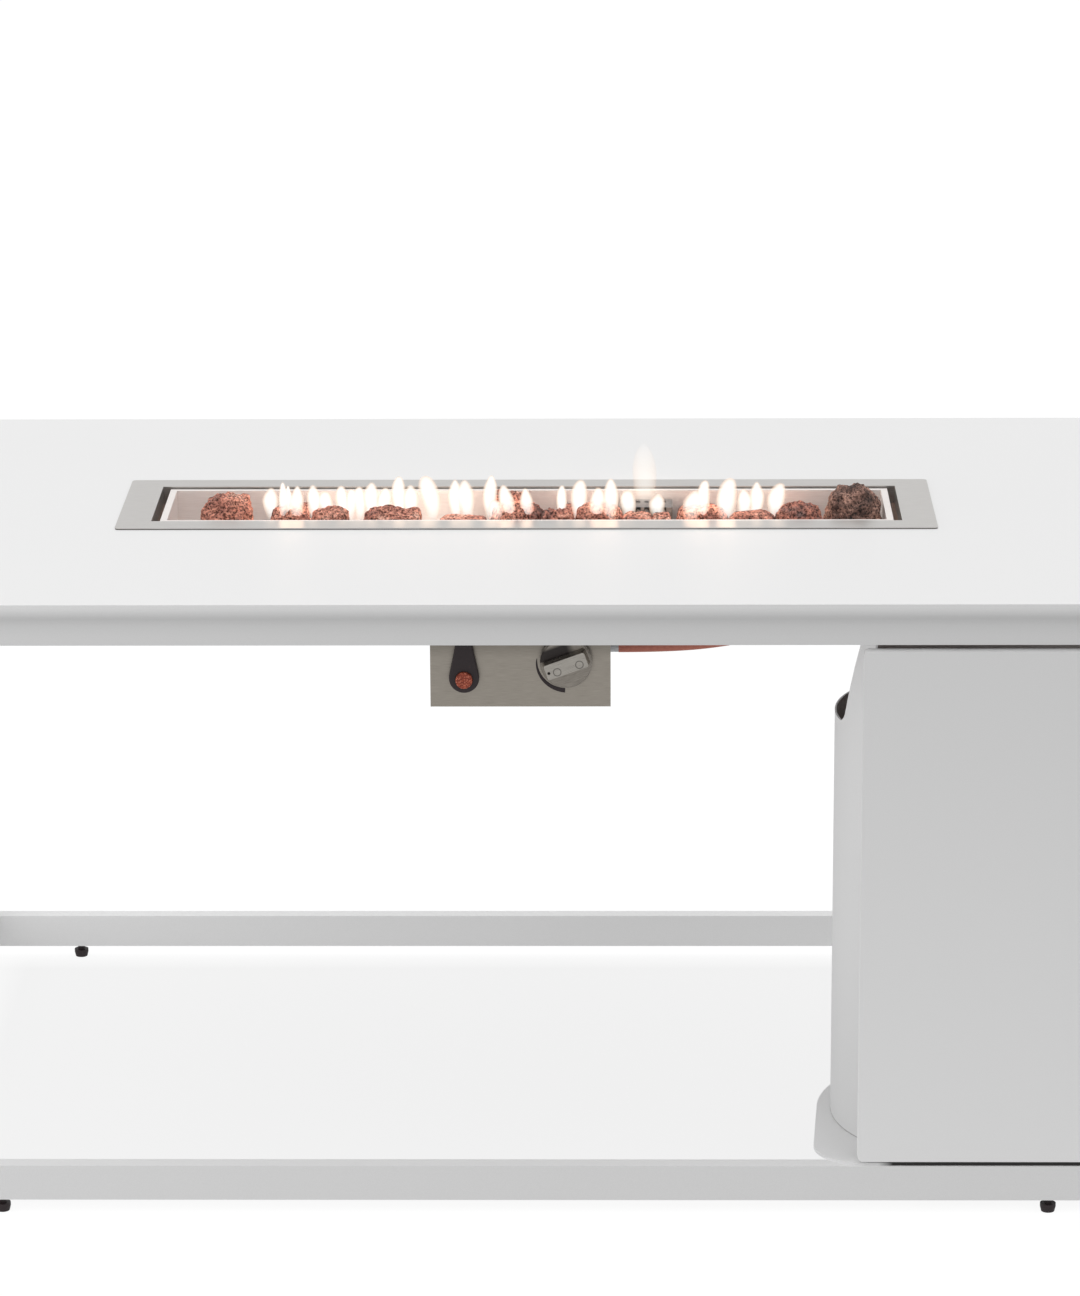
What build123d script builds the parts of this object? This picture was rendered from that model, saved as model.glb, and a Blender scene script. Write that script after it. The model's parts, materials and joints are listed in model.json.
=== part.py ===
from build123d import *
import math
import os

os.makedirs("parts", exist_ok=True)

# All sizes are millimetres. The origin is on the floor under the middle of the table,
# +X runs along the table, -Y is the side with the controls and +Z is up.

# Overall size
table_length = 1450.0
table_depth = 850.0
table_height = 680.0

# Top sheet and its edge bars
top_thickness = 4.0
top_corner_radius = 3.0
apron_height = 46.0
nose_height = 6.0
cove_height = 18.0
apron_setback = 8.0
apron_thickness = 12.0
beam_gap = 21.3
beam_width = 30.0
beam_height = 36.0

# Base frame of welded tube
rail_bottom = 15.5
rail_height = 39.0
rail_width = 20.0
tube_wall = 2.0
leg_width = 40.0
leg_inset = 5.0

# Levelling feet
foot_inset = 161.0
foot_radius = 8.5
foot_base_radius = 7.2
foot_height = 9.0
stud_radius = 4.0
stud_clearance = 0.06
stud_reach = 22.0
insert_radius = 5.5
insert_flange_radius = 7.0
insert_flange = 1.2
insert_length = 14.0

# Burner trim, housing and tray
trim_length = 907.5
trim_width = 221.0
trim_thickness = 2.0
trim_corner_radius = 5.0
burner_opening_length = 832.0
burner_opening_width = 158.0
collar_wall = 1.5
collar_depth = 18.0
cutout_gap = 1.5
housing_wall = 1.2
housing_depth = 90.0
tray_end_gap = 9.0
tray_side_gap = 4.5
tray_rim_width = 7.5
tray_rim_drop = 2.0
tray_wall = 1.5
tray_floor_depth = 50.0
tray_support_end_inset = 77.0
tray_support_side_inset = 28.5
tray_support_size = 20.0

# Burner tube, mixer and jet
burner_end_gap = 99.5
burner_radius = 11.0
burner_wall = 1.5
burner_lift = 5.0
flame_hole_count = 30
flame_hole_radius = 1.3
flame_hole_margin = 17.25
saddle_inset = 50.0
saddle_size = 16.0
saddle_clearance = 0.2
inlet_radius = 8.0
inlet_wall = 1.5
inlet_length = 18.0
mixer_radius = 13.0
mixer_wall = 1.5
mixer_window = 10.0
jet_block = 20.0
jet_radius = 5.0
jet_height = 14.0
jet_bore = 1.2
hole_clearance = 0.3
feed_radius = 5.0
feed_bend = 40.0
feed_straight = 50.0
feed_slope = 85.0

# Pilot group in the tray
pilot_place = 0.2233
pilot_side = 0.2836
hood_length = 58.0
hood_width = 38.0
hood_height = 42.0
hood_wall = 1.0
hood_hole_radius = 2.4
hood_hole_pitch = 9.5
hood_hole_drop = 4.5
hood_top_hole_offset = 7.5
probe_spacing = 24.0
electrode_radius = 3.0
electrode_height = 26.0
electrode_tip_radius = 1.0
electrode_tip = 9.0
probe_radius = 2.5
probe_height = 30.0
probe_tail = 20.0
lead_radius = 1.5
lead_bend = 18.0
lead_drop = 26.0
lead_spacing = 4.0
lead_straight = 45.0
lead_tail = 60.0

# Control panel
panel_x = -2.0
panel_width = 191.0
panel_drop = 129.5
panel_setback = 65.0
panel_thickness = 1.5
panel_flange = 25.0
screw_radius = 2.0
screw_head_radius = 3.8
screw_head = 2.4
screw_bite = 3.0
panel_screw_pitch = 70.0

# Gas valve, stem and knob
knob_x = 46.5
knob_drop = 78.5
knob_radius = 27.5
knob_skirt = 5.0
knob_gap = 6.5
grip_length = 49.0
grip_width = 20.0
grip_height = 13.0
grip_tilt = 20.0
grip_taper = 8.0
stem_radius = 4.0
stem_grip = 14.0
stem_clearance = 0.06
collar_radius = 7.0
push_collar_length = 8.0
stem_shoulder_radius = 5.5
stem_shoulder = 3.0
neck_radius = 10.0
neck_length = 13.5
valve_width = 45.0
valve_height = 42.0
valve_depth = 60.0
valve_bore_depth = 27.5
valve_tail = 11.0
stem_tail = 7.0
valve_screw_offset = 16.0
valve_boss_radius = 4.5
valve_spring_radius = 5.6
valve_spring_wire = 0.9
valve_spring_turns = 4
valve_spring_room = 8.5
spring_end_gap = 0.2

# Igniter
button_x = -61.5
button_drop = 97.6
button_radius = 9.0
button_clearance = 0.3
button_thickness = 6.0
button_proud = 4.0
button_stem_radius = 3.0
button_stem_length = 17.0
bezel_low_radius = 16.0
bezel_low_offset = 1.4
bezel_high_radius = 9.0
bezel_high_offset = 36.0
bezel_thickness = 9.0
bezel_floor = 1.5
bezel_round = 2.0
button_spring_radius = 6.0
button_spring_wire = 0.8
button_spring_turns = 2
module_radius = 13.0
module_length = 70.0
module_front = 15.5
battery_radius = 7.0
battery_length = 50.0
battery_clearance = 0.3

# Tank compartment
tank_end_distance = 232.0
tank_front_distance = 162.5
bearer_spacing = 170.0
plate_thickness = 3.0
plate_back_radius = 172.5
plate_front_half_width = 180.0
plate_corner_radius = 52.0
plate_front_gap = 2.5
cover_radius = 157.5
cover_wall = 2.0
cover_top_gap = 2.0
cover_mouth_width = 240.0
cover_mouth_join = 3.0
notch_drop = 163.0
notch_front_offset = 88.0
notch_front_low_offset = 47.0
notch_front_round = 20.0
notch_back_offset = 136.0
notch_back_low_offset = 86.0
notch_back_round = 36.0
tab_angles = (90.0, 180.0, 335.0)
tab_length = 18.0
tab_width = 20.0
tab_thickness = 2.0
tab_screw_inset = 9.0
cover_screw_radius = 2.5
cover_screw_head_radius = 5.0
cover_screw_head = 3.0

# Door of the tank compartment
door_width = 270.0
door_bottom_gap = 1.8
door_top_gap = 5.5
door_front_gap = 0.5
door_depth = 14.0
door_wall = 2.0
door_corner_radius = 6.0
door_jamb_gap = 4.0
pivot_inset = 7.0
pin_radius = 3.0
pin_clearance = 0.06
pin_in_door = 16.0
bush_width = 13.0
bush_length = 24.0
bracket_width = 24.0
bracket_depth = 16.0
bracket_thickness = 3.0
washer_radius = 7.0
washer_gap = 0.1
catch_width = 11.0
catch_depth = 16.0
catch_height = 40.0
catch_gap = 0.6
strike_width = 8.0
strike_height = 30.0

# Gas hose, its clip and the regulator
hose_radius = 6.0
hose_setback = 17.0
hose_drop = 1.5
hose_sway = 34.0
hose_rise = 28.0
fitting_nut_radius = 9.5
fitting_nut = 12.0
fitting_length = 33.0
nipple_radius = 5.6
clip_width = 12.0
clip_wall = 2.0
clip_clearance = 0.6
regulator_offset = 133.0
regulator_body_radius = 26.0
regulator_body_width = 28.0
regulator_boss_radius = 10.0
regulator_outlet_radius = 8.0
regulator_outlet = 58.0
regulator_neck = 4.0
spigot_radius = 6.0
spigot_lip_radius = 8.0
spigot_lip = 4.0
spigot_clearance = 0.08
nut_radius = 15.0
nut_height = 22.0
nut_bore_radius = 9.5
nut_shoulder = 8.0
nut_seat_gap = 0.3
nut_flute_count = 10
nut_flute_radius = 2.0

# Each stone beside the burner tube: its place along and length as shares of the tube's length, its
# place across and width as shares of the tray's width, and its height as a share of the tray's depth
row_stones = (
    (-0.438, -0.284, 0.070, 0.343, 1.30),
    (-0.367, -0.291, 0.066, 0.328, 1.14),
    (-0.248, -0.284, 0.092, 0.343, 1.14),
    (-0.118, -0.299, 0.083, 0.313, 0.96),
    (-0.020, -0.284, 0.093, 0.343, 1.34),
    (0.057, -0.291, 0.058, 0.328, 1.14),
    (0.131, -0.284, 0.080, 0.343, 1.30),
    (0.2047, -0.299, 0.052, 0.313, 1.02),
    (0.2508, -0.299, 0.036, 0.313, 1.00),
    (0.323, -0.284, 0.098, 0.343, 1.24),
    (0.4183, -0.299, 0.083, 0.313, 1.04),
    (0.506, -0.269, 0.088, 0.358, 1.26),
    (-0.420, 0.291, 0.087, 0.343, 0.84),
    (-0.037, 0.291, 0.080, 0.343, 1.16),
    (0.100, 0.291, 0.087, 0.343, 0.80),
    (0.320, 0.291, 0.087, 0.343, 0.80),
    (0.500, 0.291, 0.073, 0.343, 0.80),
)
end_stone_length = 62.0
left_stone_inset = 61.0
right_stone_inset = 34.5
stone_sides = 7
stone_levels = ((0.0, 0.72), (0.4, 1.0), (0.75, 0.88), (1.0, 0.5))

# Levels and faces that several pieces share
top_under = table_height - top_thickness
apron_bottom = table_height - apron_height
apron_inner_y = table_depth / 2 - apron_setback - apron_thickness
beam_bottom = top_under - beam_height
rail_top = rail_bottom + rail_height
rail_y = (table_depth - rail_width) / 2
rail_inner_y = table_depth / 2 - rail_width
leg_x = table_length / 2 - leg_inset - leg_width / 2
leg_y = (table_depth - leg_width) / 2
rail_length = 2 * leg_x - leg_width
foot_x = table_length / 2 - foot_inset
foot_z = rail_bottom + stud_reach

collar_length = burner_opening_length + 2 * collar_wall
collar_width = burner_opening_width + 2 * collar_wall
housing_length = collar_length + 2 * housing_wall
housing_width = collar_width + 2 * housing_wall
beam_x = housing_length / 2 + beam_gap + beam_width / 2
housing_bottom = table_height - housing_depth
housing_floor = housing_bottom + housing_wall
tray_rim_top = table_height + trim_thickness - tray_rim_drop
tray_length = burner_opening_length - 2 * tray_end_gap
tray_width = burner_opening_width - 2 * tray_side_gap
tray_inner_length = tray_length - 2 * tray_rim_width
tray_inner_width = tray_width - 2 * tray_rim_width
tray_support_x = tray_length / 2 - tray_support_end_inset
tray_support_y = tray_width / 2 - tray_support_side_inset
tray_floor = table_height - tray_floor_depth
tray_under = tray_floor - tray_wall
burner_length = tray_inner_length - 2 * burner_end_gap
burner_z = tray_floor + burner_lift + burner_radius
flame_hole_pitch = (burner_length - 2 * flame_hole_margin) / (flame_hole_count - 1)
saddle_x = burner_length / 2 - saddle_inset
pilot_x = pilot_place * burner_length
pilot_y = pilot_side * tray_inner_width
jet_z = housing_bottom - jet_block / 2

panel_bottom = table_height - panel_drop
panel_face_y = panel_setback - table_depth / 2
panel_back_y = panel_face_y + panel_thickness
knob_z = table_height - knob_drop
button_z = table_height - button_drop
valve_front_y = panel_back_y + neck_length
valve_back_y = valve_front_y + valve_depth
valve_right_x = knob_x + valve_width / 2
knob_back_y = panel_face_y - knob_gap
bore_end_y = panel_back_y + valve_bore_depth
valve_spring_end_y = bore_end_y - spring_end_gap
bezel_front_y = panel_face_y - bezel_thickness
bezel_floor_y = panel_face_y - bezel_floor
button_front_y = bezel_front_y - button_proud
button_back_y = button_front_y + button_thickness
module_back_y = panel_back_y + module_length

tank_x = table_length / 2 - tank_end_distance
tank_y = tank_front_distance - table_depth / 2
plate_top = rail_top + plate_thickness
plate_front_y = -table_depth / 2 + plate_front_gap
cover_top = apron_bottom - cover_top_gap
notch_low_z = table_height - notch_drop
door_face_y = -table_depth / 2 + door_front_gap
door_back_y = door_face_y + door_depth
door_bottom = plate_top + door_bottom_gap
door_top = apron_bottom - door_top_gap
pivot_x = tank_x + door_width / 2 - pivot_inset
pivot_y = door_face_y + door_depth / 2
jamb_front_y = door_back_y + door_jamb_gap
nut_bottom = plate_top + nut_seat_gap
nut_top = nut_bottom + nut_height
regulator_x = tank_x + regulator_offset
regulator_y = tank_y
regulator_z = nut_top + nut_seat_gap + regulator_neck + regulator_body_radius

# Route of the hose from the valve to the regulator, with the clip half way
hose_start_x = valve_right_x + fitting_length
hose_y = valve_back_y - hose_setback
hose_z = knob_z - hose_drop
clip_y = hose_y + hose_sway
clip_z = hose_z + hose_rise
hose_end_z = regulator_z + regulator_outlet
hose_points = (
    (hose_start_x, hose_y, hose_z),
    (hose_start_x + 44, hose_y, hose_z),
    (hose_start_x + 103, hose_y + 2.5, hose_z + 3.5),
    (hose_start_x + 173, hose_y + 11, hose_z + 15),
    (hose_start_x + 243, hose_y + 24, hose_z + 25),
    (beam_x - 37.5, clip_y, clip_z),
    (beam_x + 37.5, clip_y, clip_z),
    (regulator_x - 52.3, regulator_y - 1, clip_z - 8),
    (regulator_x - 18.8, regulator_y - 0.3, clip_z - 29.8),
    (regulator_x, regulator_y, clip_z - 65.1),
    (regulator_x + 1, regulator_y + 0.5, clip_z - 138),
    (regulator_x - 1, regulator_y - 0.8, clip_z - 263),
    (regulator_x, regulator_y, hose_end_z + 77),
    (regulator_x, regulator_y, hose_end_z),
)


def front_plane(y):
    """Upright plane at depth y: its x runs right, its y runs up and it faces the front."""
    return Plane(origin=(0, y, 0), x_dir=(1, 0, 0), z_dir=(0, -1, 0))


def side_plane(x):
    """Upright plane at x: its x runs to the back, its y runs up and it faces right."""
    return Plane(origin=(x, 0, 0), x_dir=(0, 1, 0), z_dir=(1, 0, 0))


def level(z):
    """Level plane at height z."""
    return Plane.XY.offset(z)


def save(builder, node):
    """Label a finished piece and write it to its own file."""
    builder.part.label = node
    export_step(builder.part, f"parts/{node}.step")


def tube_section(width, height):
    """Hollow rectangle of the frame's tube."""
    Rectangle(width, height)
    Rectangle(width - 2 * tube_wall, height - 2 * tube_wall, mode=Mode.SUBTRACT)


# Top sheet
with BuildPart() as table_top:
    with BuildSketch(level(top_under)):
        RectangleRounded(table_length, table_depth, top_corner_radius)
        Rectangle(housing_length + 2 * cutout_gap, housing_width + 2 * cutout_gap, mode=Mode.SUBTRACT)
    extrude(amount=top_thickness)
    with BuildSketch(level(top_under)):
        with Locations((panel_x, panel_back_y + panel_flange / 2)):
            with GridLocations(panel_screw_pitch, 1, 2, 1):
                Circle(screw_radius + hole_clearance)
    extrude(amount=screw_bite, mode=Mode.SUBTRACT)
save(table_top, "table_top")


# Edge bars: a nose under the sheet, a cove and an upright apron, mitred at the corners
def apron_bar(outward, edge, length, node):
    """One edge bar; outward is the way it faces and edge its distance from the middle."""
    along = outward.cross(Vector(0, 0, 1))
    edge_point = outward * edge + Vector(0, 0, table_height)
    curve_bottom = nose_height + cove_height
    back = apron_setback + apron_thickness
    with BuildPart() as bar:
        with BuildSketch(Plane(origin=edge_point, x_dir=outward, z_dir=along)):
            with BuildLine():
                nose = Line((0, -top_thickness), (0, -nose_height))
                middle = (-apron_setback / 2, -(nose_height + cove_height / 2))
                bulge = TangentArc(nose @ 1, middle, tangent=nose % 1)
                cove = TangentArc(bulge @ 1, (-apron_setback, -curve_bottom), tangent=bulge % 1)
                Polyline(
                    cove @ 1,
                    (-apron_setback, -apron_height),
                    (-back, -apron_height),
                    (-back, -top_thickness),
                    nose @ 0,
                )
            make_face()
        extrude(amount=length / 2, both=True)
        for end in (along, along * -1):
            corner = edge_point + end * (length / 2)
            split(bisect_by=Plane(origin=corner, z_dir=end - outward), keep=Keep.BOTTOM)
    save(bar, node)


apron_bar(Vector(0, -1, 0), table_depth / 2, table_length, "apron_front")
apron_bar(Vector(0, 1, 0), table_depth / 2, table_length, "apron_back")
apron_bar(Vector(-1, 0, 0), table_length / 2, table_depth, "apron_left")
apron_bar(Vector(1, 0, 0), table_length / 2, table_depth, "apron_right")

# Beams across the underside of the top
with BuildPart() as top_beams:
    with BuildSketch(front_plane(0)):
        with Locations((-beam_x, top_under - beam_height / 2), (beam_x, top_under - beam_height / 2)):
            tube_section(beam_width, beam_height)
    extrude(amount=apron_inner_y, both=True)
save(top_beams, "top_beams")

# Low rails along the front and the back, with holes for the foot inserts
for node, side in (("front_rail", -1), ("back_rail", 1)):
    with BuildPart() as rail:
        with BuildSketch(side_plane(0)):
            with Locations((side * rail_y, rail_bottom + rail_height / 2)):
                tube_section(rail_width, rail_height)
        extrude(amount=rail_length / 2, both=True)
        with BuildSketch(level(rail_bottom)):
            with Locations((-foot_x, side * rail_y), (foot_x, side * rail_y)):
                Circle(insert_radius)
        extrude(amount=tube_wall, mode=Mode.SUBTRACT)
    save(rail, node)

# Low rails at the ends
with BuildPart() as end_rails:
    end_rail_x = leg_x + (leg_width - rail_width) / 2
    with BuildSketch(front_plane(0)):
        with Locations((-end_rail_x, rail_bottom + rail_height / 2), (end_rail_x, rail_bottom + rail_height / 2)):
            tube_section(rail_width, rail_height)
    extrude(amount=table_depth / 2 - leg_width, both=True)
save(end_rails, "end_rails")

# Legs from the low rails to the apron
for side_name, side in (("front", -1), ("back", 1)):
    for end_name, end in (("left", -1), ("right", 1)):
        with BuildPart() as leg:
            with BuildSketch(level(rail_bottom)):
                with Locations((end * leg_x, side * leg_y)):
                    tube_section(leg_width, leg_width)
            extrude(amount=apron_bottom - rail_bottom)
        save(leg, f"leg_{side_name}_{end_name}")

# Bearers under the tank plate
with BuildPart() as tank_bearers:
    with BuildSketch(front_plane(0)):
        with Locations((tank_x, rail_bottom + rail_height / 2)):
            with GridLocations(bearer_spacing, 1, 2, 1):
                tube_section(rail_width, rail_height)
    extrude(amount=rail_inner_y, both=True)
save(tank_bearers, "tank_bearers")

# Threaded inserts in the rails
foot_places = [(end * foot_x, side * rail_y) for side in (-1, 1) for end in (-1, 1)]
with BuildPart() as foot_inserts:
    with BuildSketch(level(rail_bottom)):
        with Locations(*foot_places):
            Circle(insert_flange_radius)
    extrude(amount=-insert_flange)
    with BuildSketch(level(rail_bottom - insert_flange)):
        with Locations(*foot_places):
            Circle(insert_radius)
    extrude(amount=insert_flange + insert_length)
    with BuildSketch(level(rail_bottom - insert_flange)):
        with Locations(*foot_places):
            Circle(stud_radius + stud_clearance)
    extrude(amount=insert_flange + insert_length, mode=Mode.SUBTRACT)
save(foot_inserts, "foot_inserts")

# Levelling feet: a cupped pad moulded round its stud
for (foot_place_x, foot_place_y), name in zip(foot_places, ("front_left", "front_right", "back_left", "back_right")):
    with BuildPart() as foot:
        with BuildSketch(Plane.XZ):
            with BuildLine():
                Polyline(
                    (0, 0),
                    (foot_base_radius, 0),
                    (foot_radius, foot_height * 0.6),
                    (foot_radius, foot_height),
                    (stud_radius, foot_height),
                    (stud_radius, foot_z),
                    (0, foot_z),
                    close=True,
                )
            make_face()
        revolve(axis=Axis.Z)
    foot.part.position = (foot_place_x, foot_place_y, 0)
    save(foot, f"foot_{name}")

# Burner trim: a flat frame on the top with a collar inside the cut-out
with BuildPart() as burner_trim:
    with BuildSketch(level(table_height)):
        RectangleRounded(trim_length, trim_width, trim_corner_radius)
        Rectangle(burner_opening_length, burner_opening_width, mode=Mode.SUBTRACT)
    extrude(amount=trim_thickness)
    with BuildSketch(level(table_height)):
        Rectangle(collar_length, collar_width)
        Rectangle(burner_opening_length, burner_opening_width, mode=Mode.SUBTRACT)
    extrude(amount=-collar_depth)
save(burner_trim, "burner_trim")

# Holes that the pilot leads pass through
probe_places = [(pilot_x - probe_spacing / 2, pilot_y), (pilot_x + probe_spacing / 2, pilot_y)]

# Burner housing round the collar
with BuildPart() as burner_housing:
    with BuildSketch(level(housing_bottom)):
        Rectangle(housing_length, housing_width)
    extrude(amount=housing_depth)
    with BuildSketch(level(housing_floor)):
        Rectangle(collar_length, collar_width)
    extrude(amount=housing_depth, mode=Mode.SUBTRACT)
    with BuildSketch(level(housing_bottom)):
        with Locations((knob_x, 0)):
            Circle(jet_radius + hole_clearance)
        with Locations(*probe_places):
            Circle(probe_radius + 2 * hole_clearance)
    extrude(amount=housing_wall, mode=Mode.SUBTRACT)
save(burner_housing, "burner_housing")

# Tray with a folded rim
with BuildPart() as burner_tray:
    with BuildSketch(level(tray_under)):
        Rectangle(tray_inner_length + 2 * tray_wall, tray_inner_width + 2 * tray_wall)
    extrude(amount=tray_rim_top - tray_under)
    with BuildSketch(level(tray_rim_top - tray_wall)):
        Rectangle(tray_length, tray_width)
    extrude(amount=tray_wall)
    with BuildSketch(level(tray_floor)):
        Rectangle(tray_inner_length, tray_inner_width)
    extrude(amount=tray_rim_top - tray_floor, mode=Mode.SUBTRACT)
    with BuildSketch(level(tray_under)):
        with Locations((knob_x, 0)):
            Circle(inlet_radius + hole_clearance)
        with Locations(*probe_places):
            Circle(electrode_radius + hole_clearance)
    extrude(amount=tray_wall, mode=Mode.SUBTRACT)
save(burner_tray, "burner_tray")

# Posts that carry the tray in the housing
with BuildPart() as tray_supports:
    with BuildSketch(level(housing_floor)):
        with GridLocations(2 * tray_support_x, 2 * tray_support_y, 2, 2):
            tube_section(tray_support_size, tray_support_size)
    extrude(amount=tray_under - housing_floor)
save(tray_supports, "tray_supports")

# Burner tube with a row of flame holes and an inlet in its underside
with BuildPart() as burner_tube:
    with BuildSketch(side_plane(0)):
        with Locations((0, burner_z)):
            Circle(burner_radius)
    extrude(amount=burner_length / 2, both=True)
    with BuildSketch(level(tray_under - inlet_length)):
        with Locations((knob_x, 0)):
            Circle(inlet_radius)
    extrude(until=Until.NEXT)
    with BuildSketch(side_plane(0)):
        with Locations((0, burner_z)):
            Circle(burner_radius - burner_wall)
    extrude(amount=burner_length / 2 - burner_wall, both=True, mode=Mode.SUBTRACT)
    with BuildSketch(level(tray_under - inlet_length)):
        with Locations((knob_x, 0)):
            Circle(inlet_radius - inlet_wall)
    extrude(amount=burner_z - tray_under + inlet_length, mode=Mode.SUBTRACT)
    with BuildSketch(level(burner_z)):
        with GridLocations(flame_hole_pitch, 1, flame_hole_count, 1):
            Circle(flame_hole_radius)
    extrude(amount=2 * burner_radius, mode=Mode.SUBTRACT)
save(burner_tube, "burner_tube")

# Saddles under the burner tube
with BuildPart() as tube_saddles:
    with BuildSketch(level(tray_floor)):
        with GridLocations(2 * saddle_x, 1, 2, 1):
            Rectangle(saddle_size, 2 * burner_radius)
    extrude(amount=burner_lift + burner_radius / 2)
    with BuildSketch(side_plane(0)):
        with Locations((0, burner_z)):
            Circle(burner_radius + saddle_clearance)
    extrude(amount=burner_length / 2, both=True, mode=Mode.SUBTRACT)
save(tube_saddles, "tube_saddles")

# Air mixer between the housing floor and the tray
with BuildPart() as air_mixer:
    with BuildSketch(level(housing_floor)):
        with Locations((knob_x, 0)):
            Circle(mixer_radius)
            Circle(mixer_radius - mixer_wall, mode=Mode.SUBTRACT)
    extrude(amount=tray_under - housing_floor)
    with BuildSketch(front_plane(0)):
        with Locations((knob_x, housing_floor + mixer_window)):
            RectangleRounded(mixer_window, mixer_window, mixer_window / 4)
    extrude(amount=2 * mixer_radius, both=True, mode=Mode.SUBTRACT)
save(air_mixer, "air_mixer")

# Gas jet with its elbow block under the housing
with BuildPart() as gas_jet:
    with BuildSketch(level(housing_bottom - jet_block)):
        with Locations((knob_x, 0)):
            RectangleRounded(jet_block, jet_block, jet_block / 8)
    extrude(amount=jet_block)
    with BuildSketch(level(housing_bottom)):
        with Locations((knob_x, 0)):
            Circle(jet_radius)
    extrude(amount=jet_height)
    with BuildSketch(level(jet_z)):
        with Locations((knob_x, 0)):
            Circle(jet_bore)
    extrude(amount=jet_block / 2 + jet_height, mode=Mode.SUBTRACT)
save(gas_jet, "gas_jet")


def pipe(points, radius, bends):
    """Round tube of one radius along straight runs joined by tangent arcs."""
    with BuildPart() as run:
        with BuildLine() as route:
            FilletPolyline(*points, radius=bends)
        with BuildSketch(Plane(origin=route.line @ 0, z_dir=route.line % 0)):
            Circle(radius)
        sweep(path=route.line)
    return run, route.line


# Feed pipe from the valve to the jet
feed_points = (
    (knob_x, valve_back_y, knob_z),
    (knob_x, valve_back_y + feed_straight, knob_z),
    (knob_x, valve_back_y + feed_straight + feed_slope, jet_z),
    (knob_x, -jet_block / 2, jet_z),
)
gas_feed_pipe, feed_line = pipe(feed_points, feed_radius, feed_bend)
save(gas_feed_pipe, "gas_feed_pipe")

# Stones in the tray: irregular lumps on its floor, one past each end of the tube and the rest beside it
tray_end_x = tray_inner_length / 2
stones = [
    (left_stone_inset - tray_end_x, -0.05, end_stone_length, 0.55, 1.32),
    (tray_end_x - right_stone_inset, 0.0, end_stone_length, 0.63, 1.48),
]
for along, across, length, width, height in row_stones:
    stones.append((along * burner_length, across, length * burner_length, width, height))
with BuildPart() as lava_rocks:
    for number, (stone_x, across, stone_length, width, height) in enumerate(stones):
        stone_y = across * tray_inner_width
        stone_width = width * tray_inner_width
        stone_height = height * tray_floor_depth
        for height_share, size_share in stone_levels:
            lean = 0.06 * height_share * math.sin(2.3 * number + 1)
            corners = []
            for corner in range(stone_sides):
                angle = 2 * math.pi * corner / stone_sides + 0.4 * number
                bump = 0.9 + 0.1 * math.sin(3.7 * corner + 1.9 * number)
                corners.append(
                    (
                        stone_x + stone_length * (lean + size_share * bump * math.cos(angle) / 2),
                        stone_y + stone_width * (lean + size_share * bump * math.sin(angle) / 2),
                    )
                )
            with BuildSketch(level(tray_floor + height_share * stone_height)):
                Polygon(*corners, align=None)
        loft(ruled=True)
save(lava_rocks, "lava_rocks")

# Perforated hood over the pilot
with BuildPart() as pilot_hood:
    with BuildSketch(level(tray_floor)):
        with Locations((pilot_x, pilot_y)):
            Rectangle(hood_length, hood_width)
    extrude(amount=hood_height)
    with BuildSketch(level(tray_floor)):
        with Locations((pilot_x, pilot_y)):
            Rectangle(hood_length - 2 * hood_wall, hood_width - 2 * hood_wall)
    extrude(amount=hood_height - hood_wall, mode=Mode.SUBTRACT)
    with BuildSketch(front_plane(pilot_y)):
        with Locations((pilot_x, tray_floor + hood_height - hood_hole_drop - hood_hole_pitch)):
            with GridLocations(hood_hole_pitch, hood_hole_pitch, 5, 3):
                Circle(hood_hole_radius)
    extrude(amount=hood_width, both=True, mode=Mode.SUBTRACT)
    with BuildSketch(level(tray_floor + hood_height - hood_wall)):
        with Locations((pilot_x, pilot_y + hood_top_hole_offset)):
            with GridLocations(hood_hole_pitch, 1, 5, 1):
                Circle(hood_hole_radius)
    extrude(amount=hood_wall, mode=Mode.SUBTRACT)
save(pilot_hood, "pilot_hood")

# Spark electrode: a ceramic rod with a wire tip
with BuildPart() as ignition_electrode:
    with BuildSketch(level(tray_under - probe_tail)):
        with Locations(probe_places[0]):
            Circle(electrode_radius)
    extrude(amount=tray_floor - tray_under + probe_tail + electrode_height)
    with BuildSketch(level(tray_floor + electrode_height)):
        with Locations(probe_places[0]):
            Circle(electrode_tip_radius)
    extrude(amount=electrode_tip)
save(ignition_electrode, "ignition_electrode")

# Thermocouple: a probe in the hood and its copper lead to the valve, one piece
probe_tail_z = tray_under - probe_tail
lead_level = housing_bottom - lead_drop
thermocouple_end = Vector(valve_right_x - 2 * lead_spacing, valve_back_y, knob_z + lead_spacing)
thermocouple_turn = thermocouple_end + Vector(0, lead_straight, 0)
thermocouple_points = (
    (*probe_places[1], probe_tail_z),
    (*probe_places[1], lead_level - lead_spacing),
    (
        0.7 * probe_places[1][0] + 0.3 * thermocouple_turn.X,
        0.35 * probe_places[1][1] + 0.65 * thermocouple_turn.Y,
        lead_level - lead_spacing,
    ),
    thermocouple_turn,
    thermocouple_end,
)
with BuildPart() as thermocouple:
    with BuildLine() as thermocouple_route:
        FilletPolyline(*thermocouple_points, radius=lead_bend)
    with BuildSketch(Plane(origin=thermocouple_route.line @ 0, z_dir=thermocouple_route.line % 0)):
        Circle(lead_radius)
    sweep(path=thermocouple_route.line)
    with BuildSketch(level(probe_tail_z)):
        with Locations(probe_places[1]):
            Circle(probe_radius)
    extrude(amount=tray_floor - probe_tail_z + probe_height)
save(thermocouple, "thermocouple")

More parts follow.
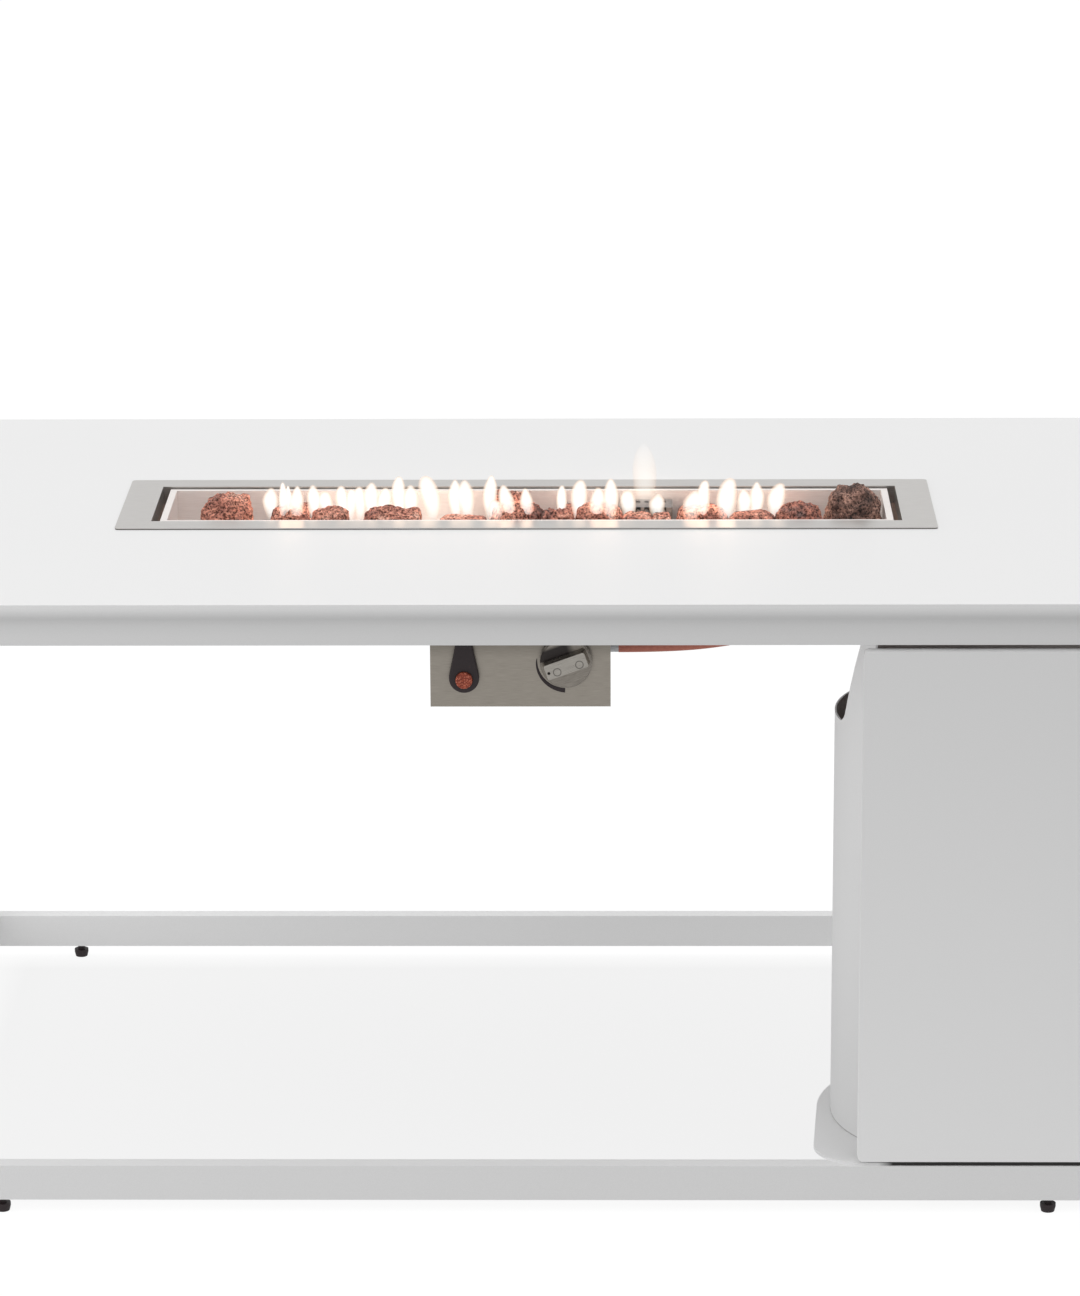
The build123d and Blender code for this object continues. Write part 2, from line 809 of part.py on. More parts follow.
# Lead of the spark electrode
igniter_turn_y = module_back_y + lead_tail
igniter_lead_points = (
    (*probe_places[0], probe_tail_z),
    (*probe_places[0], lead_level),
    (
        0.66 * probe_places[0][0] + 0.34 * button_x,
        0.46 * probe_places[0][1] + 0.54 * igniter_turn_y,
        lead_level,
    ),
    (button_x, igniter_turn_y, button_z),
    (button_x, module_back_y, button_z),
)
igniter_lead, igniter_line = pipe(igniter_lead_points, lead_radius, lead_bend)
save(igniter_lead, "igniter_lead")

# Control panel with a flange under the top
panel_height = top_under - panel_bottom
with BuildPart() as control_panel:
    with BuildSketch(front_plane(panel_face_y)):
        with Locations((panel_x, panel_bottom + panel_height / 2)):
            Rectangle(panel_width, panel_height)
        with Locations((knob_x, knob_z)):
            Circle(stem_shoulder_radius + hole_clearance, mode=Mode.SUBTRACT)
        with Locations((knob_x - valve_screw_offset, knob_z), (knob_x + valve_screw_offset, knob_z)):
            Circle(screw_radius + hole_clearance, mode=Mode.SUBTRACT)
        with Locations((button_x, button_z)):
            Circle(button_stem_radius + hole_clearance, mode=Mode.SUBTRACT)
    extrude(amount=-panel_thickness)
    with BuildSketch(level(top_under)):
        with Locations((panel_x, panel_back_y + panel_flange / 2)):
            Rectangle(panel_width, panel_flange)
            with GridLocations(panel_screw_pitch, 1, 2, 1):
                Circle(screw_radius + hole_clearance, mode=Mode.SUBTRACT)
    extrude(amount=-panel_thickness)
save(control_panel, "control_panel")

# Gas valve: body, neck and screw bosses against the panel, bored for the stem
with BuildPart() as gas_valve:
    with BuildSketch(front_plane(valve_front_y)):
        with Locations((knob_x, knob_z)):
            RectangleRounded(valve_width, valve_height, valve_height / 8)
    extrude(amount=-valve_depth)
    with BuildSketch(front_plane(panel_back_y)):
        with Locations((knob_x, knob_z)):
            Circle(neck_radius)
        with Locations((knob_x - valve_screw_offset, knob_z), (knob_x + valve_screw_offset, knob_z)):
            Circle(valve_boss_radius)
    extrude(amount=-neck_length)
    with BuildSketch(front_plane(panel_back_y)):
        with Locations((knob_x, knob_z)):
            Circle(collar_radius + stem_clearance)
    extrude(amount=-valve_bore_depth, mode=Mode.SUBTRACT)
    with BuildSketch(front_plane(bore_end_y)):
        with Locations((knob_x, knob_z)):
            Circle(stem_radius + 2 * hole_clearance)
    extrude(amount=-valve_tail, mode=Mode.SUBTRACT)
    with BuildSketch(front_plane(panel_back_y)):
        with Locations((knob_x - valve_screw_offset, knob_z), (knob_x + valve_screw_offset, knob_z)):
            Circle(screw_radius + hole_clearance)
    extrude(amount=-(screw_bite + 2), mode=Mode.SUBTRACT)
save(gas_valve, "gas_valve")

# Screws of the panel flange and of the valve
with BuildPart() as panel_screws:
    with BuildSketch(level(top_under - panel_thickness)):
        with Locations((panel_x, panel_back_y + panel_flange / 2)):
            with GridLocations(panel_screw_pitch, 1, 2, 1):
                Circle(screw_head_radius)
    extrude(amount=-screw_head)
    with BuildSketch(level(top_under - panel_thickness)):
        with Locations((panel_x, panel_back_y + panel_flange / 2)):
            with GridLocations(panel_screw_pitch, 1, 2, 1):
                Circle(screw_radius)
    extrude(amount=panel_thickness + screw_bite)
    with BuildSketch(front_plane(panel_face_y)):
        with Locations((knob_x - valve_screw_offset, knob_z), (knob_x + valve_screw_offset, knob_z)):
            Circle(screw_head_radius)
    extrude(amount=screw_head)
    with BuildSketch(front_plane(panel_face_y)):
        with Locations((knob_x - valve_screw_offset, knob_z), (knob_x + valve_screw_offset, knob_z)):
            Circle(screw_radius)
    extrude(amount=-(panel_thickness + screw_bite))
save(panel_screws, "panel_screws")

# Sliding collar that the stem pushes on, and the spring behind it
collar_back_y = valve_spring_end_y - valve_spring_room
collar_front_y = collar_back_y - push_collar_length
with BuildPart() as push_collar:
    with BuildSketch(front_plane(collar_front_y)):
        with Locations((knob_x, knob_z)):
            Circle(collar_radius)
            Circle(stem_radius + stem_clearance, mode=Mode.SUBTRACT)
    extrude(amount=-push_collar_length)
save(push_collar, "push_collar")


def coil_spring(x, z, front_y, back_y, radius, wire, turns):
    """Coil spring lying along Y between two faces."""
    length = back_y - front_y - wire
    start = (x, front_y + wire / 2, z)
    with BuildPart() as spring:
        with BuildLine() as coil:
            Helix(pitch=length / turns, height=length, radius=radius, center=start, direction=(0, 1, 0))
        with BuildSketch(Plane(origin=coil.line @ 0, z_dir=coil.line % 0)):
            Circle(wire / 2)
        sweep(path=coil.line, is_frenet=True)
    print("spring gap between turns", round(length / turns - wire, 2))
    return spring


valve_spring = coil_spring(
    knob_x,
    knob_z,
    collar_back_y + spring_end_gap,
    valve_spring_end_y,
    valve_spring_radius,
    valve_spring_wire,
    valve_spring_turns,
)
save(valve_spring, "valve_spring")

# Stem: it carries the knob, bears on the collar and ends in the valve
stem_front_y = knob_back_y - stem_grip
stem_back_y = bore_end_y + stem_tail
shoulder_front_y = collar_front_y - stem_clearance - stem_shoulder
with BuildPart() as valve_stem:
    with BuildSketch(front_plane(stem_front_y)):
        with Locations((knob_x, knob_z)):
            Circle(stem_radius)
    extrude(amount=-(stem_back_y - stem_front_y))
    with BuildSketch(front_plane(shoulder_front_y)):
        with Locations((knob_x, knob_z)):
            Circle(stem_shoulder_radius)
    extrude(amount=-stem_shoulder)
save(valve_stem, "valve_stem")

# Knob: a round skirt with a tilted grip bar
with BuildPart() as control_knob:
    with BuildSketch(front_plane(knob_back_y)):
        with Locations((knob_x, knob_z)):
            Circle(knob_radius)
    extrude(amount=knob_skirt)
    chamfer(control_knob.faces().sort_by(Axis.Y)[0].edges(), length=knob_skirt / 3)
    with BuildSketch(front_plane(knob_back_y - knob_skirt)):
        with Locations((knob_x, knob_z)):
            RectangleRounded(grip_length, grip_width, grip_width / 5, rotation=grip_tilt)
    extrude(amount=grip_height, taper=grip_taper)
    with BuildSketch(front_plane(knob_back_y)):
        with Locations((knob_x, knob_z)):
            Circle(stem_radius + stem_clearance)
    extrude(amount=stem_grip + stem_clearance, mode=Mode.SUBTRACT)
save(control_knob, "control_knob")

# Igniter bezel: a long rounded housing on the panel with a pocket for the button
with BuildPart() as igniter_bezel:
    with BuildSketch(front_plane(panel_face_y)):
        with Locations((button_x, button_z + bezel_low_offset)):
            Circle(bezel_low_radius)
        with Locations((button_x, button_z + bezel_high_offset)):
            Circle(bezel_high_radius)
        make_hull()
    extrude(amount=bezel_thickness)
    fillet(igniter_bezel.faces().sort_by(Axis.Y)[0].edges(), radius=bezel_round)
    with BuildSketch(front_plane(bezel_floor_y)):
        with Locations((button_x, button_z)):
            Circle(button_radius + button_clearance)
    extrude(amount=bezel_thickness, mode=Mode.SUBTRACT)
    with BuildSketch(front_plane(panel_face_y)):
        with Locations((button_x, button_z)):
            Circle(button_stem_radius + stem_clearance)
    extrude(amount=bezel_thickness, mode=Mode.SUBTRACT)
save(igniter_bezel, "igniter_bezel")

# Ignition button: a domed cap on a stem
with BuildPart() as ignition_button:
    with BuildSketch(front_plane(button_back_y)):
        with Locations((button_x, button_z)):
            Circle(button_radius)
    extrude(amount=button_thickness)
    fillet(ignition_button.faces().sort_by(Axis.Y)[0].edges(), radius=button_thickness / 4)
    with BuildSketch(front_plane(button_back_y)):
        with Locations((button_x, button_z)):
            Circle(button_stem_radius)
    extrude(amount=-button_stem_length)
save(ignition_button, "ignition_button")

button_spring = coil_spring(
    button_x,
    button_z,
    button_back_y + spring_end_gap,
    bezel_floor_y - spring_end_gap,
    button_spring_radius,
    button_spring_wire,
    button_spring_turns,
)
save(button_spring, "button_spring")

# Igniter module behind the panel, hollow for its battery
with BuildPart() as igniter_module:
    with BuildSketch(front_plane(panel_back_y)):
        with Locations((button_x, button_z)):
            Circle(module_radius)
    extrude(amount=-module_length)
    with BuildSketch(front_plane(panel_back_y)):
        with Locations((button_x, button_z)):
            Circle(button_stem_radius + hole_clearance)
    extrude(amount=-(module_front - 2), mode=Mode.SUBTRACT)
    with BuildSketch(front_plane(panel_back_y + module_front)):
        with Locations((button_x, button_z)):
            Circle(battery_radius + battery_clearance)
    extrude(amount=-(battery_length + battery_clearance), mode=Mode.SUBTRACT)
save(igniter_module, "igniter_module")

with BuildPart() as igniter_battery:
    with BuildSketch(front_plane(panel_back_y + module_front)):
        with Locations((button_x, button_z)):
            Circle(battery_radius)
    extrude(amount=-battery_length)
save(igniter_battery, "igniter_battery")

# Plate under the tank: round at the back, with rounded corners at the front
plate_corner_y = plate_front_y + plate_corner_radius
plate_corner_x = plate_front_half_width - plate_corner_radius
with BuildPart() as tank_base_plate:
    with BuildSketch(level(rail_top)):
        with Locations((tank_x, tank_y)):
            Circle(plate_back_radius)
        with Locations((tank_x - plate_corner_x, plate_corner_y), (tank_x + plate_corner_x, plate_corner_y)):
            Circle(plate_corner_radius)
        make_hull()
        with Locations((tank_x, plate_front_y - plate_back_radius)):
            Rectangle(4 * plate_back_radius, 2 * plate_back_radius, mode=Mode.SUBTRACT)
    extrude(amount=plate_thickness)
    with BuildSketch(level(plate_top)):
        for angle in tab_angles:
            with Locations(Location((tank_x, tank_y), angle)):
                with Locations((cover_radius - cover_wall - tab_screw_inset, 0)):
                    Circle(cover_screw_radius + hole_clearance)
        with Locations((pivot_x, pivot_y)):
            Circle(pin_radius + pin_clearance)
    extrude(amount=-plate_thickness, mode=Mode.SUBTRACT)
save(tank_base_plate, "tank_base_plate")

# Tank cover: a round shell, open to the door between two jambs, with a notch for the hose on its left
cover_inner_radius = cover_radius - cover_wall
cover_height = cover_top - plate_top
mouth_half = cover_mouth_width / 2
jamb_back_y = tank_y - math.sqrt(cover_inner_radius**2 - mouth_half**2) + cover_mouth_join
jamb_length = jamb_back_y - jamb_front_y
with BuildPart() as tank_cover:
    with BuildSketch(level(plate_top)):
        with Locations((tank_x, tank_y)):
            Circle(cover_radius)
            Circle(cover_inner_radius, mode=Mode.SUBTRACT)
        with Locations((tank_x, tank_y - cover_radius / 2)):
            Rectangle(cover_mouth_width, cover_radius, mode=Mode.SUBTRACT)
        with Locations((tank_x, jamb_front_y + jamb_length / 2)):
            with GridLocations(cover_mouth_width + cover_wall, 1, 2, 1):
                Rectangle(cover_wall, jamb_length)
    extrude(amount=cover_height)
    with BuildSketch(side_plane(tank_x)):
        with BuildLine():
            Polyline(
                (tank_y - notch_front_offset, cover_top),
                (tank_y - notch_front_low_offset, notch_low_z),
                (tank_y + notch_back_low_offset, notch_low_z),
                (tank_y + notch_back_offset, cover_top),
                close=True,
            )
        make_face()
        front_corner, back_corner = vertices().group_by(Axis.Y)[0].sort_by(Axis.X)
        fillet(front_corner, radius=notch_front_round)
        fillet(back_corner, radius=notch_back_round)
    extrude(amount=-2 * cover_radius, mode=Mode.SUBTRACT)
    for angle in tab_angles:
        with Locations(Location((tank_x, tank_y, plate_top), (0, 0, angle))):
            with Locations((cover_inner_radius - tab_length / 2 + cover_wall / 2, 0, tab_thickness / 2)):
                Box(tab_length, tab_width, tab_thickness)
            with Locations((cover_inner_radius - tab_screw_inset, 0, tab_thickness / 2)):
                Cylinder(cover_screw_radius + hole_clearance, tab_thickness, mode=Mode.SUBTRACT)
save(tank_cover, "tank_cover")

# Screws through the cover's tabs into the plate
with BuildPart() as cover_screws:
    for angle in tab_angles:
        with Locations(Location((tank_x, tank_y, plate_top + tab_thickness), (0, 0, angle))):
            with Locations((cover_inner_radius - tab_screw_inset, 0, 0)):
                Cylinder(
                    cover_screw_head_radius,
                    cover_screw_head,
                    align=(Align.CENTER, Align.CENTER, Align.MIN),
                )
                Cylinder(
                    cover_screw_radius,
                    tab_thickness + plate_thickness,
                    align=(Align.CENTER, Align.CENTER, Align.MAX),
                )
save(cover_screws, "cover_screws")

# Door: a folded sheet, open at the back
door_height = door_top - door_bottom
door_middle_z = (door_top + door_bottom) / 2
with BuildPart() as tank_door:
    with BuildSketch(front_plane(door_face_y)):
        with Locations((tank_x, door_middle_z)):
            RectangleRounded(door_width, door_height, door_corner_radius)
    extrude(amount=-door_depth)
    with BuildSketch(front_plane(door_face_y + door_wall)):
        with Locations((tank_x, door_middle_z)):
            RectangleRounded(
                door_width - 2 * door_wall, door_height - 2 * door_wall, door_corner_radius - door_wall
            )
    extrude(amount=-door_depth, mode=Mode.SUBTRACT)
    with BuildSketch(level(door_bottom)):
        with Locations((pivot_x, pivot_y)):
            Circle(pin_radius + hole_clearance)
    extrude(amount=door_height, mode=Mode.SUBTRACT)
save(tank_door, "tank_door")

# Bushes in the door's corners that turn on the pins
bush_x = tank_x + door_width / 2 - door_wall - bush_width / 2
bush_depth = door_depth - door_wall
bush_y = door_face_y + door_wall + bush_depth / 2
with BuildPart() as door_bushes:
    for bush_low in (door_bottom + door_corner_radius, door_top - door_corner_radius - bush_length):
        with BuildSketch(level(bush_low)):
            with Locations((bush_x, bush_y)):
                Rectangle(bush_width, bush_depth)
            with Locations((pivot_x, pivot_y)):
                Circle(pin_radius + pin_clearance, mode=Mode.SUBTRACT)
        extrude(amount=bush_length)
save(door_bushes, "door_bushes")

# Bracket under the apron that holds the upper pin
with BuildPart() as pivot_bracket:
    with BuildSketch(level(apron_bottom - bracket_thickness)):
        with Locations((pivot_x, door_face_y + bracket_depth / 2)):
            RectangleRounded(bracket_width, bracket_depth, bracket_thickness)
        with Locations((pivot_x, pivot_y)):
            Circle(pin_radius + pin_clearance, mode=Mode.SUBTRACT)
    extrude(amount=bracket_thickness)
save(pivot_bracket, "pivot_bracket")

# Pins: the lower one stands in the plate, the upper one hangs in the bracket
pin_reach = door_corner_radius + pin_in_door
with BuildPart() as hinge_pins:
    with BuildSketch(level(rail_top)):
        with Locations((pivot_x, pivot_y)):
            Circle(pin_radius)
    extrude(amount=plate_thickness + door_bottom_gap + pin_reach)
    with BuildSketch(level(apron_bottom)):
        with Locations((pivot_x, pivot_y)):
            Circle(pin_radius)
    extrude(amount=-(door_top_gap + pin_reach))
save(hinge_pins, "hinge_pins")

# Washer that the door turns on
with BuildPart() as door_washer:
    with BuildSketch(level(plate_top)):
        with Locations((pivot_x, pivot_y)):
            Circle(washer_radius)
            Circle(pin_radius + hole_clearance, mode=Mode.SUBTRACT)
        with Locations((pivot_x, plate_front_y - washer_radius)):
            Rectangle(2 * washer_radius, 2 * washer_radius, mode=Mode.SUBTRACT)
    extrude(amount=door_bottom_gap - washer_gap)
save(door_washer, "door_washer")

# Magnet catch on the left jamb and its strike on the door
jamb_left_x = tank_x - mouth_half - cover_wall
catch_z = door_middle_z
with BuildPart() as magnet_catch:
    with BuildSketch(level(catch_z - catch_height / 2)):
        with Locations((jamb_left_x - catch_width / 2, jamb_front_y + catch_depth / 2)):
            RectangleRounded(catch_width, catch_depth, catch_width / 6)
    extrude(amount=catch_height)
save(magnet_catch, "magnet_catch")

strike_depth = jamb_front_y - catch_gap - (door_face_y + door_wall)
with BuildPart() as catch_strike:
    with BuildSketch(level(catch_z - strike_height / 2)):
        with Locations((jamb_left_x - catch_width / 2, door_face_y + door_wall + strike_depth / 2)):
            Rectangle(strike_width, strike_depth)
    extrude(amount=strike_height)
save(catch_strike, "catch_strike")

# Fitting between the valve and the hose
with BuildPart() as hose_fitting:
    with BuildSketch(side_plane(valve_right_x)):
        with Locations((hose_y, hose_z)):
            RegularPolygon(radius=fitting_nut_radius, side_count=6)
    extrude(amount=fitting_nut)
    with BuildSketch(side_plane(valve_right_x)):
        with Locations((hose_y, hose_z)):
            Circle(nipple_radius)
    extrude(amount=fitting_length)
save(hose_fitting, "hose_fitting")

# Gas hose: each bend is as wide as its two runs allow
runs = [Vector(*b) - Vector(*a) for a, b in zip(hose_points, hose_points[1:])]
hose_bends = []
for run_in, run_out in zip(runs, runs[1:]):
    half_turn = math.radians(run_in.get_angle(run_out)) / 2
    hose_bends.append(0.45 * min(run_in.length, run_out.length) / math.tan(half_turn))
gas_hose, hose_line = pipe(hose_points, hose_radius, hose_bends)
save(gas_hose, "gas_hose")
hose_length = sum(edge.length for edge in hose_line.edges())
print("hose bend radii", [round(bend) for bend in hose_bends])
print("hose length", round(hose_length, 1))
print("hose volume share", round(gas_hose.part.volume / (math.pi * hose_radius**2 * hose_length), 4))

# Clip that hangs the hose from the beam
clip_bore = hose_radius + clip_clearance
with BuildPart() as hose_clip:
    with BuildSketch(side_plane(beam_x - clip_width / 2)):
        with Locations((clip_y, clip_z)):
            Circle(clip_bore + clip_wall)
        with Locations((clip_y, (clip_z + beam_bottom) / 2)):
            Rectangle(2 * clip_wall, beam_bottom - clip_z)
        with Locations((clip_y, beam_bottom - clip_wall / 2)):
            Rectangle(2 * clip_bore, clip_wall)
        with Locations((clip_y, clip_z)):
            Circle(clip_bore, mode=Mode.SUBTRACT)
    extrude(amount=clip_width)
save(hose_clip, "hose_clip")

# Regulator standing on the plate: body, spigot with a lip for the nut, hose outlet
with BuildPart() as regulator:
    with BuildSketch(side_plane(regulator_x - regulator_body_width / 2)):
        with Locations((regulator_y, regulator_z)):
            Circle(regulator_body_radius)
    extrude(amount=regulator_body_width)
    fillet(regulator.edges().filter_by(GeomType.CIRCLE), radius=regulator_body_width / 6)
    with BuildSketch(level(nut_top + nut_seat_gap)):
        with Locations((regulator_x, regulator_y)):
            Circle(regulator_boss_radius)
    extrude(amount=regulator_body_radius / 2)
    with BuildSketch(level(regulator_z)):
        with Locations((regulator_x, regulator_y)):
            Circle(regulator_outlet_radius)
    extrude(amount=regulator_outlet)
    with BuildSketch(level(nut_top - nut_shoulder - nut_seat_gap - spigot_lip)):
        with Locations((regulator_x, regulator_y)):
            Circle(spigot_lip_radius)
    extrude(amount=spigot_lip)
    with BuildSketch(level(nut_top - nut_shoulder - nut_seat_gap - spigot_lip)):
        with Locations((regulator_x, regulator_y)):
            Circle(spigot_radius)
    extrude(amount=spigot_lip + nut_shoulder + 3 * nut_seat_gap)
save(regulator, "regulator")

# Union nut that turns on the regulator's spigot
with BuildPart() as union_nut:
    with BuildSketch(level(nut_bottom)):
        with Locations((regulator_x, regulator_y)):
            Circle(nut_radius)
            with PolarLocations(nut_radius + nut_flute_radius / 2, nut_flute_count):
                Circle(nut_flute_radius, mode=Mode.SUBTRACT)
    extrude(amount=nut_height)
    with BuildSketch(level(nut_bottom)):
        with Locations((regulator_x, regulator_y)):
            Circle(nut_bore_radius)
    extrude(amount=nut_height - nut_shoulder, mode=Mode.SUBTRACT)
    with BuildSketch(level(nut_bottom)):
        with Locations((regulator_x, regulator_y)):
            Circle(spigot_radius + spigot_clearance)
    extrude(amount=nut_height, mode=Mode.SUBTRACT)
save(union_nut, "union_nut")
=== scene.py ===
import json
import math

import bmesh
import bpy
from mathutils import Matrix, Vector, noise


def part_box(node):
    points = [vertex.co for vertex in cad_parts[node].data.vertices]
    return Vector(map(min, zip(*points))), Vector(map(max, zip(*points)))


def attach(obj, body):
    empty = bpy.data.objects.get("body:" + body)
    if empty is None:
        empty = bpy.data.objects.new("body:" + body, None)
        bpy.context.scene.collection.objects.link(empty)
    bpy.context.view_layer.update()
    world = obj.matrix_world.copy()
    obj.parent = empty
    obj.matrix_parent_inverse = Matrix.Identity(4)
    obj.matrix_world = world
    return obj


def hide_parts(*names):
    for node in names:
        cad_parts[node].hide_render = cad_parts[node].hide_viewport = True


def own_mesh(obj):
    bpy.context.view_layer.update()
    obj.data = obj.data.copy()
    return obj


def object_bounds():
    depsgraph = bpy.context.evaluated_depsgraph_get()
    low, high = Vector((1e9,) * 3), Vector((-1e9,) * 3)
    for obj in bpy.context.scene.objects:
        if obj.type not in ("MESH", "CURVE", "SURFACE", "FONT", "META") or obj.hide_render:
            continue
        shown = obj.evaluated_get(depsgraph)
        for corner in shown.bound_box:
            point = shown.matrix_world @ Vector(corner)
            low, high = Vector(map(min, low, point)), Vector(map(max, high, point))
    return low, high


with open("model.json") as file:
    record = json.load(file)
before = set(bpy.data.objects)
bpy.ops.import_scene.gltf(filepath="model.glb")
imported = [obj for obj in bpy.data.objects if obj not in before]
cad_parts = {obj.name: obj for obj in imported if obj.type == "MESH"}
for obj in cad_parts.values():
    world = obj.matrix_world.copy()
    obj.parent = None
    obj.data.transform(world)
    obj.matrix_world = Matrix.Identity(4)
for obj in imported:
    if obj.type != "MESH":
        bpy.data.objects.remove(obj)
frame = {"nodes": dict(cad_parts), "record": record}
cad_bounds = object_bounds()
scene = bpy.context.scene
nodes = frame["nodes"]
TABLE = "table"

# Camera: the view of the photograph
camera_data = bpy.data.cameras.new("camera")
camera_data.sensor_width = 36.0
camera_data.lens = 139.05
camera_data.clip_end = 60.0
camera = bpy.data.objects.new("camera", camera_data)
scene.collection.objects.link(camera)
camera.matrix_world = (
    Matrix.Translation((0.0990, -5.4501, 2.0555))
    @ Matrix.Rotation(math.radians(0.9016), 4, "Z")
    @ Matrix.Rotation(math.radians(90 - 15.800), 4, "X")
    @ Matrix.Rotation(math.radians(-0.297), 4, "Z")
)
scene.camera = camera


# Helpers for node materials
def linear(red, green, blue):
    """Linear colour with alpha from 0 to 255 display values."""
    values = []
    for value in (red, green, blue):
        share = value / 255
        values.append(share / 12.92 if share <= 0.04045 else ((share + 0.055) / 1.055) ** 2.4)
    return (*values, 1.0)


def new_material(name):
    """Node material; returns it with its tree, shader and object coordinates."""
    material = bpy.data.materials.new(name)
    material.use_nodes = True
    tree = material.node_tree
    place = tree.nodes.new("ShaderNodeTexCoord")
    return material, tree, tree.nodes["Principled BSDF"], place.outputs["Object"]


def noise_node(tree, place, scale, detail=4.0, roughness=0.55, stretch=(1, 1, 1)):
    """Noise over the object, drawn out along the axes whose stretch is small."""
    mapping = tree.nodes.new("ShaderNodeMapping")
    mapping.inputs["Scale"].default_value = stretch
    tree.links.new(place, mapping.inputs["Vector"])
    texture = tree.nodes.new("ShaderNodeTexNoise")
    texture.inputs["Scale"].default_value = scale
    texture.inputs["Detail"].default_value = detail
    texture.inputs["Roughness"].default_value = roughness
    tree.links.new(mapping.outputs["Vector"], texture.inputs["Vector"])
    return texture.outputs["Fac"]


def cell_node(tree, place, scale):
    """Distance to the nearest of many scattered points."""
    texture = tree.nodes.new("ShaderNodeTexVoronoi")
    texture.inputs["Scale"].default_value = scale
    tree.links.new(place, texture.inputs["Vector"])
    return texture.outputs["Distance"]


def ramp_node(tree, value, stops):
    """Colour ramp over a value; stops are (position, colour)."""
    ramp = tree.nodes.new("ShaderNodeValToRGB")
    elements = ramp.color_ramp.elements
    while len(elements) < len(stops):
        elements.new(0.5)
    for element, (position, colour) in zip(elements, stops):
        element.position = position
        element.color = colour
    tree.links.new(value, ramp.inputs["Fac"])
    return ramp.outputs["Color"]


def range_node(tree, value, start, end, low=0.0, high=1.0):
    """Value between start and end moved to low and high, and held there outside them."""
    change = tree.nodes.new("ShaderNodeMapRange")
    change.inputs["From Min"].default_value = start
    change.inputs["From Max"].default_value = end
    change.inputs["To Min"].default_value = low
    change.inputs["To Max"].default_value = high
    tree.links.new(value, change.inputs["Value"])
    return change.outputs["Result"]


def math_node(tree, operation, first, second):
    """Arithmetic on two values, each a socket or a number."""
    node = tree.nodes.new("ShaderNodeMath")
    node.operation = operation
    for socket, value in zip(node.inputs, (first, second)):
        if isinstance(value, (int, float)):
            socket.default_value = value
        else:
            tree.links.new(value, socket)
    return node.outputs["Value"]


def mix_node(tree, share, first, second, blend="MIX"):
    """Mix of two colours, each a socket or a colour."""
    node = tree.nodes.new("ShaderNodeMix")
    node.data_type = "RGBA"
    node.blend_type = blend
    if isinstance(share, (int, float)):
        node.inputs["Factor"].default_value = share
    else:
        tree.links.new(share, node.inputs["Factor"])
    colours = [socket for socket in node.inputs if socket.type == "RGBA"]
    for socket, value in zip(colours, (first, second)):
        if isinstance(value, tuple):
            socket.default_value = value
        else:
            tree.links.new(value, socket)
    return next(socket for socket in node.outputs if socket.type == "RGBA")


def local_node(tree, place, middle, turn=(0, 0, 0)):
    """Coordinates counted from a middle and turned with it."""
    mapping = tree.nodes.new("ShaderNodeMapping")
    mapping.vector_type = "TEXTURE"
    mapping.inputs["Location"].default_value = middle
    mapping.inputs["Rotation"].default_value = turn
    tree.links.new(place, mapping.inputs["Vector"])
    return mapping.outputs["Vector"]


def vector_node(tree, operation, first, second):
    """Number from two vectors, the second a socket or three numbers."""
    node = tree.nodes.new("ShaderNodeVectorMath")
    node.operation = operation
    tree.links.new(first, node.inputs[0])
    if isinstance(second, tuple):
        node.inputs[1].default_value = second
    else:
        tree.links.new(second, node.inputs[1])
    return node.outputs["Value"]


def bump_node(tree, value, shader, strength, distance):
    """Bump on the shader's normal."""
    bump = tree.nodes.new("ShaderNodeBump")
    bump.inputs["Strength"].default_value = strength
    bump.inputs["Distance"].default_value = distance
    tree.links.new(value, bump.inputs["Height"])
    tree.links.new(bump.outputs["Normal"], shader.inputs["Normal"])


def axes_node(tree, vector):
    """The x, y and z of a vector."""
    split = tree.nodes.new("ShaderNodeSeparateXYZ")
    tree.links.new(vector, split.inputs["Vector"])
    return split.outputs["X"], split.outputs["Y"], split.outputs["Z"]


# Levels of a grain between which a finish changes
grain_start = 0.3
grain_end = 0.7


def two_tone(tree, grain, dark, light):
    """Colour that runs from dark to light with a grain; both are display values."""
    return ramp_node(tree, grain, ((grain_start, linear(*dark)), (grain_end, linear(*light))))


def vary_roughness(tree, grain, shader, low, high):
    """Roughness that runs from low to high with a grain."""
    tree.links.new(range_node(tree, grain, grain_start, grain_end, low, high), shader.inputs["Roughness"])


def inside_node(tree, place, middle, start, end):
    """1 on faces that look towards a middle, 0 on faces that look away from it."""
    coordinates = next(node for node in tree.nodes if node.type == "TEX_COORD")
    own = local_node(tree, place, middle)
    outward = vector_node(tree, "DOT_PRODUCT", own, coordinates.outputs["Normal"])
    return range_node(tree, outward, start, end)


def grained(name, dark, light, scale, rough, metal=0.0, stretch=1, bump=0.1, depth=0.0002):
    """Finish whose colour, roughness and surface vary with one grain; stretch draws it out along x."""
    material, tree, shader, place = new_material(name)
    grain = noise_node(tree, place, scale, stretch=(1, stretch, stretch))
    tree.links.new(two_tone(tree, grain, dark, light), shader.inputs["Base Color"])
    vary_roughness(tree, grain, shader, *rough)
    shader.inputs["Metallic"].default_value = metal
    bump_node(tree, grain, shader, bump, depth)
    return material


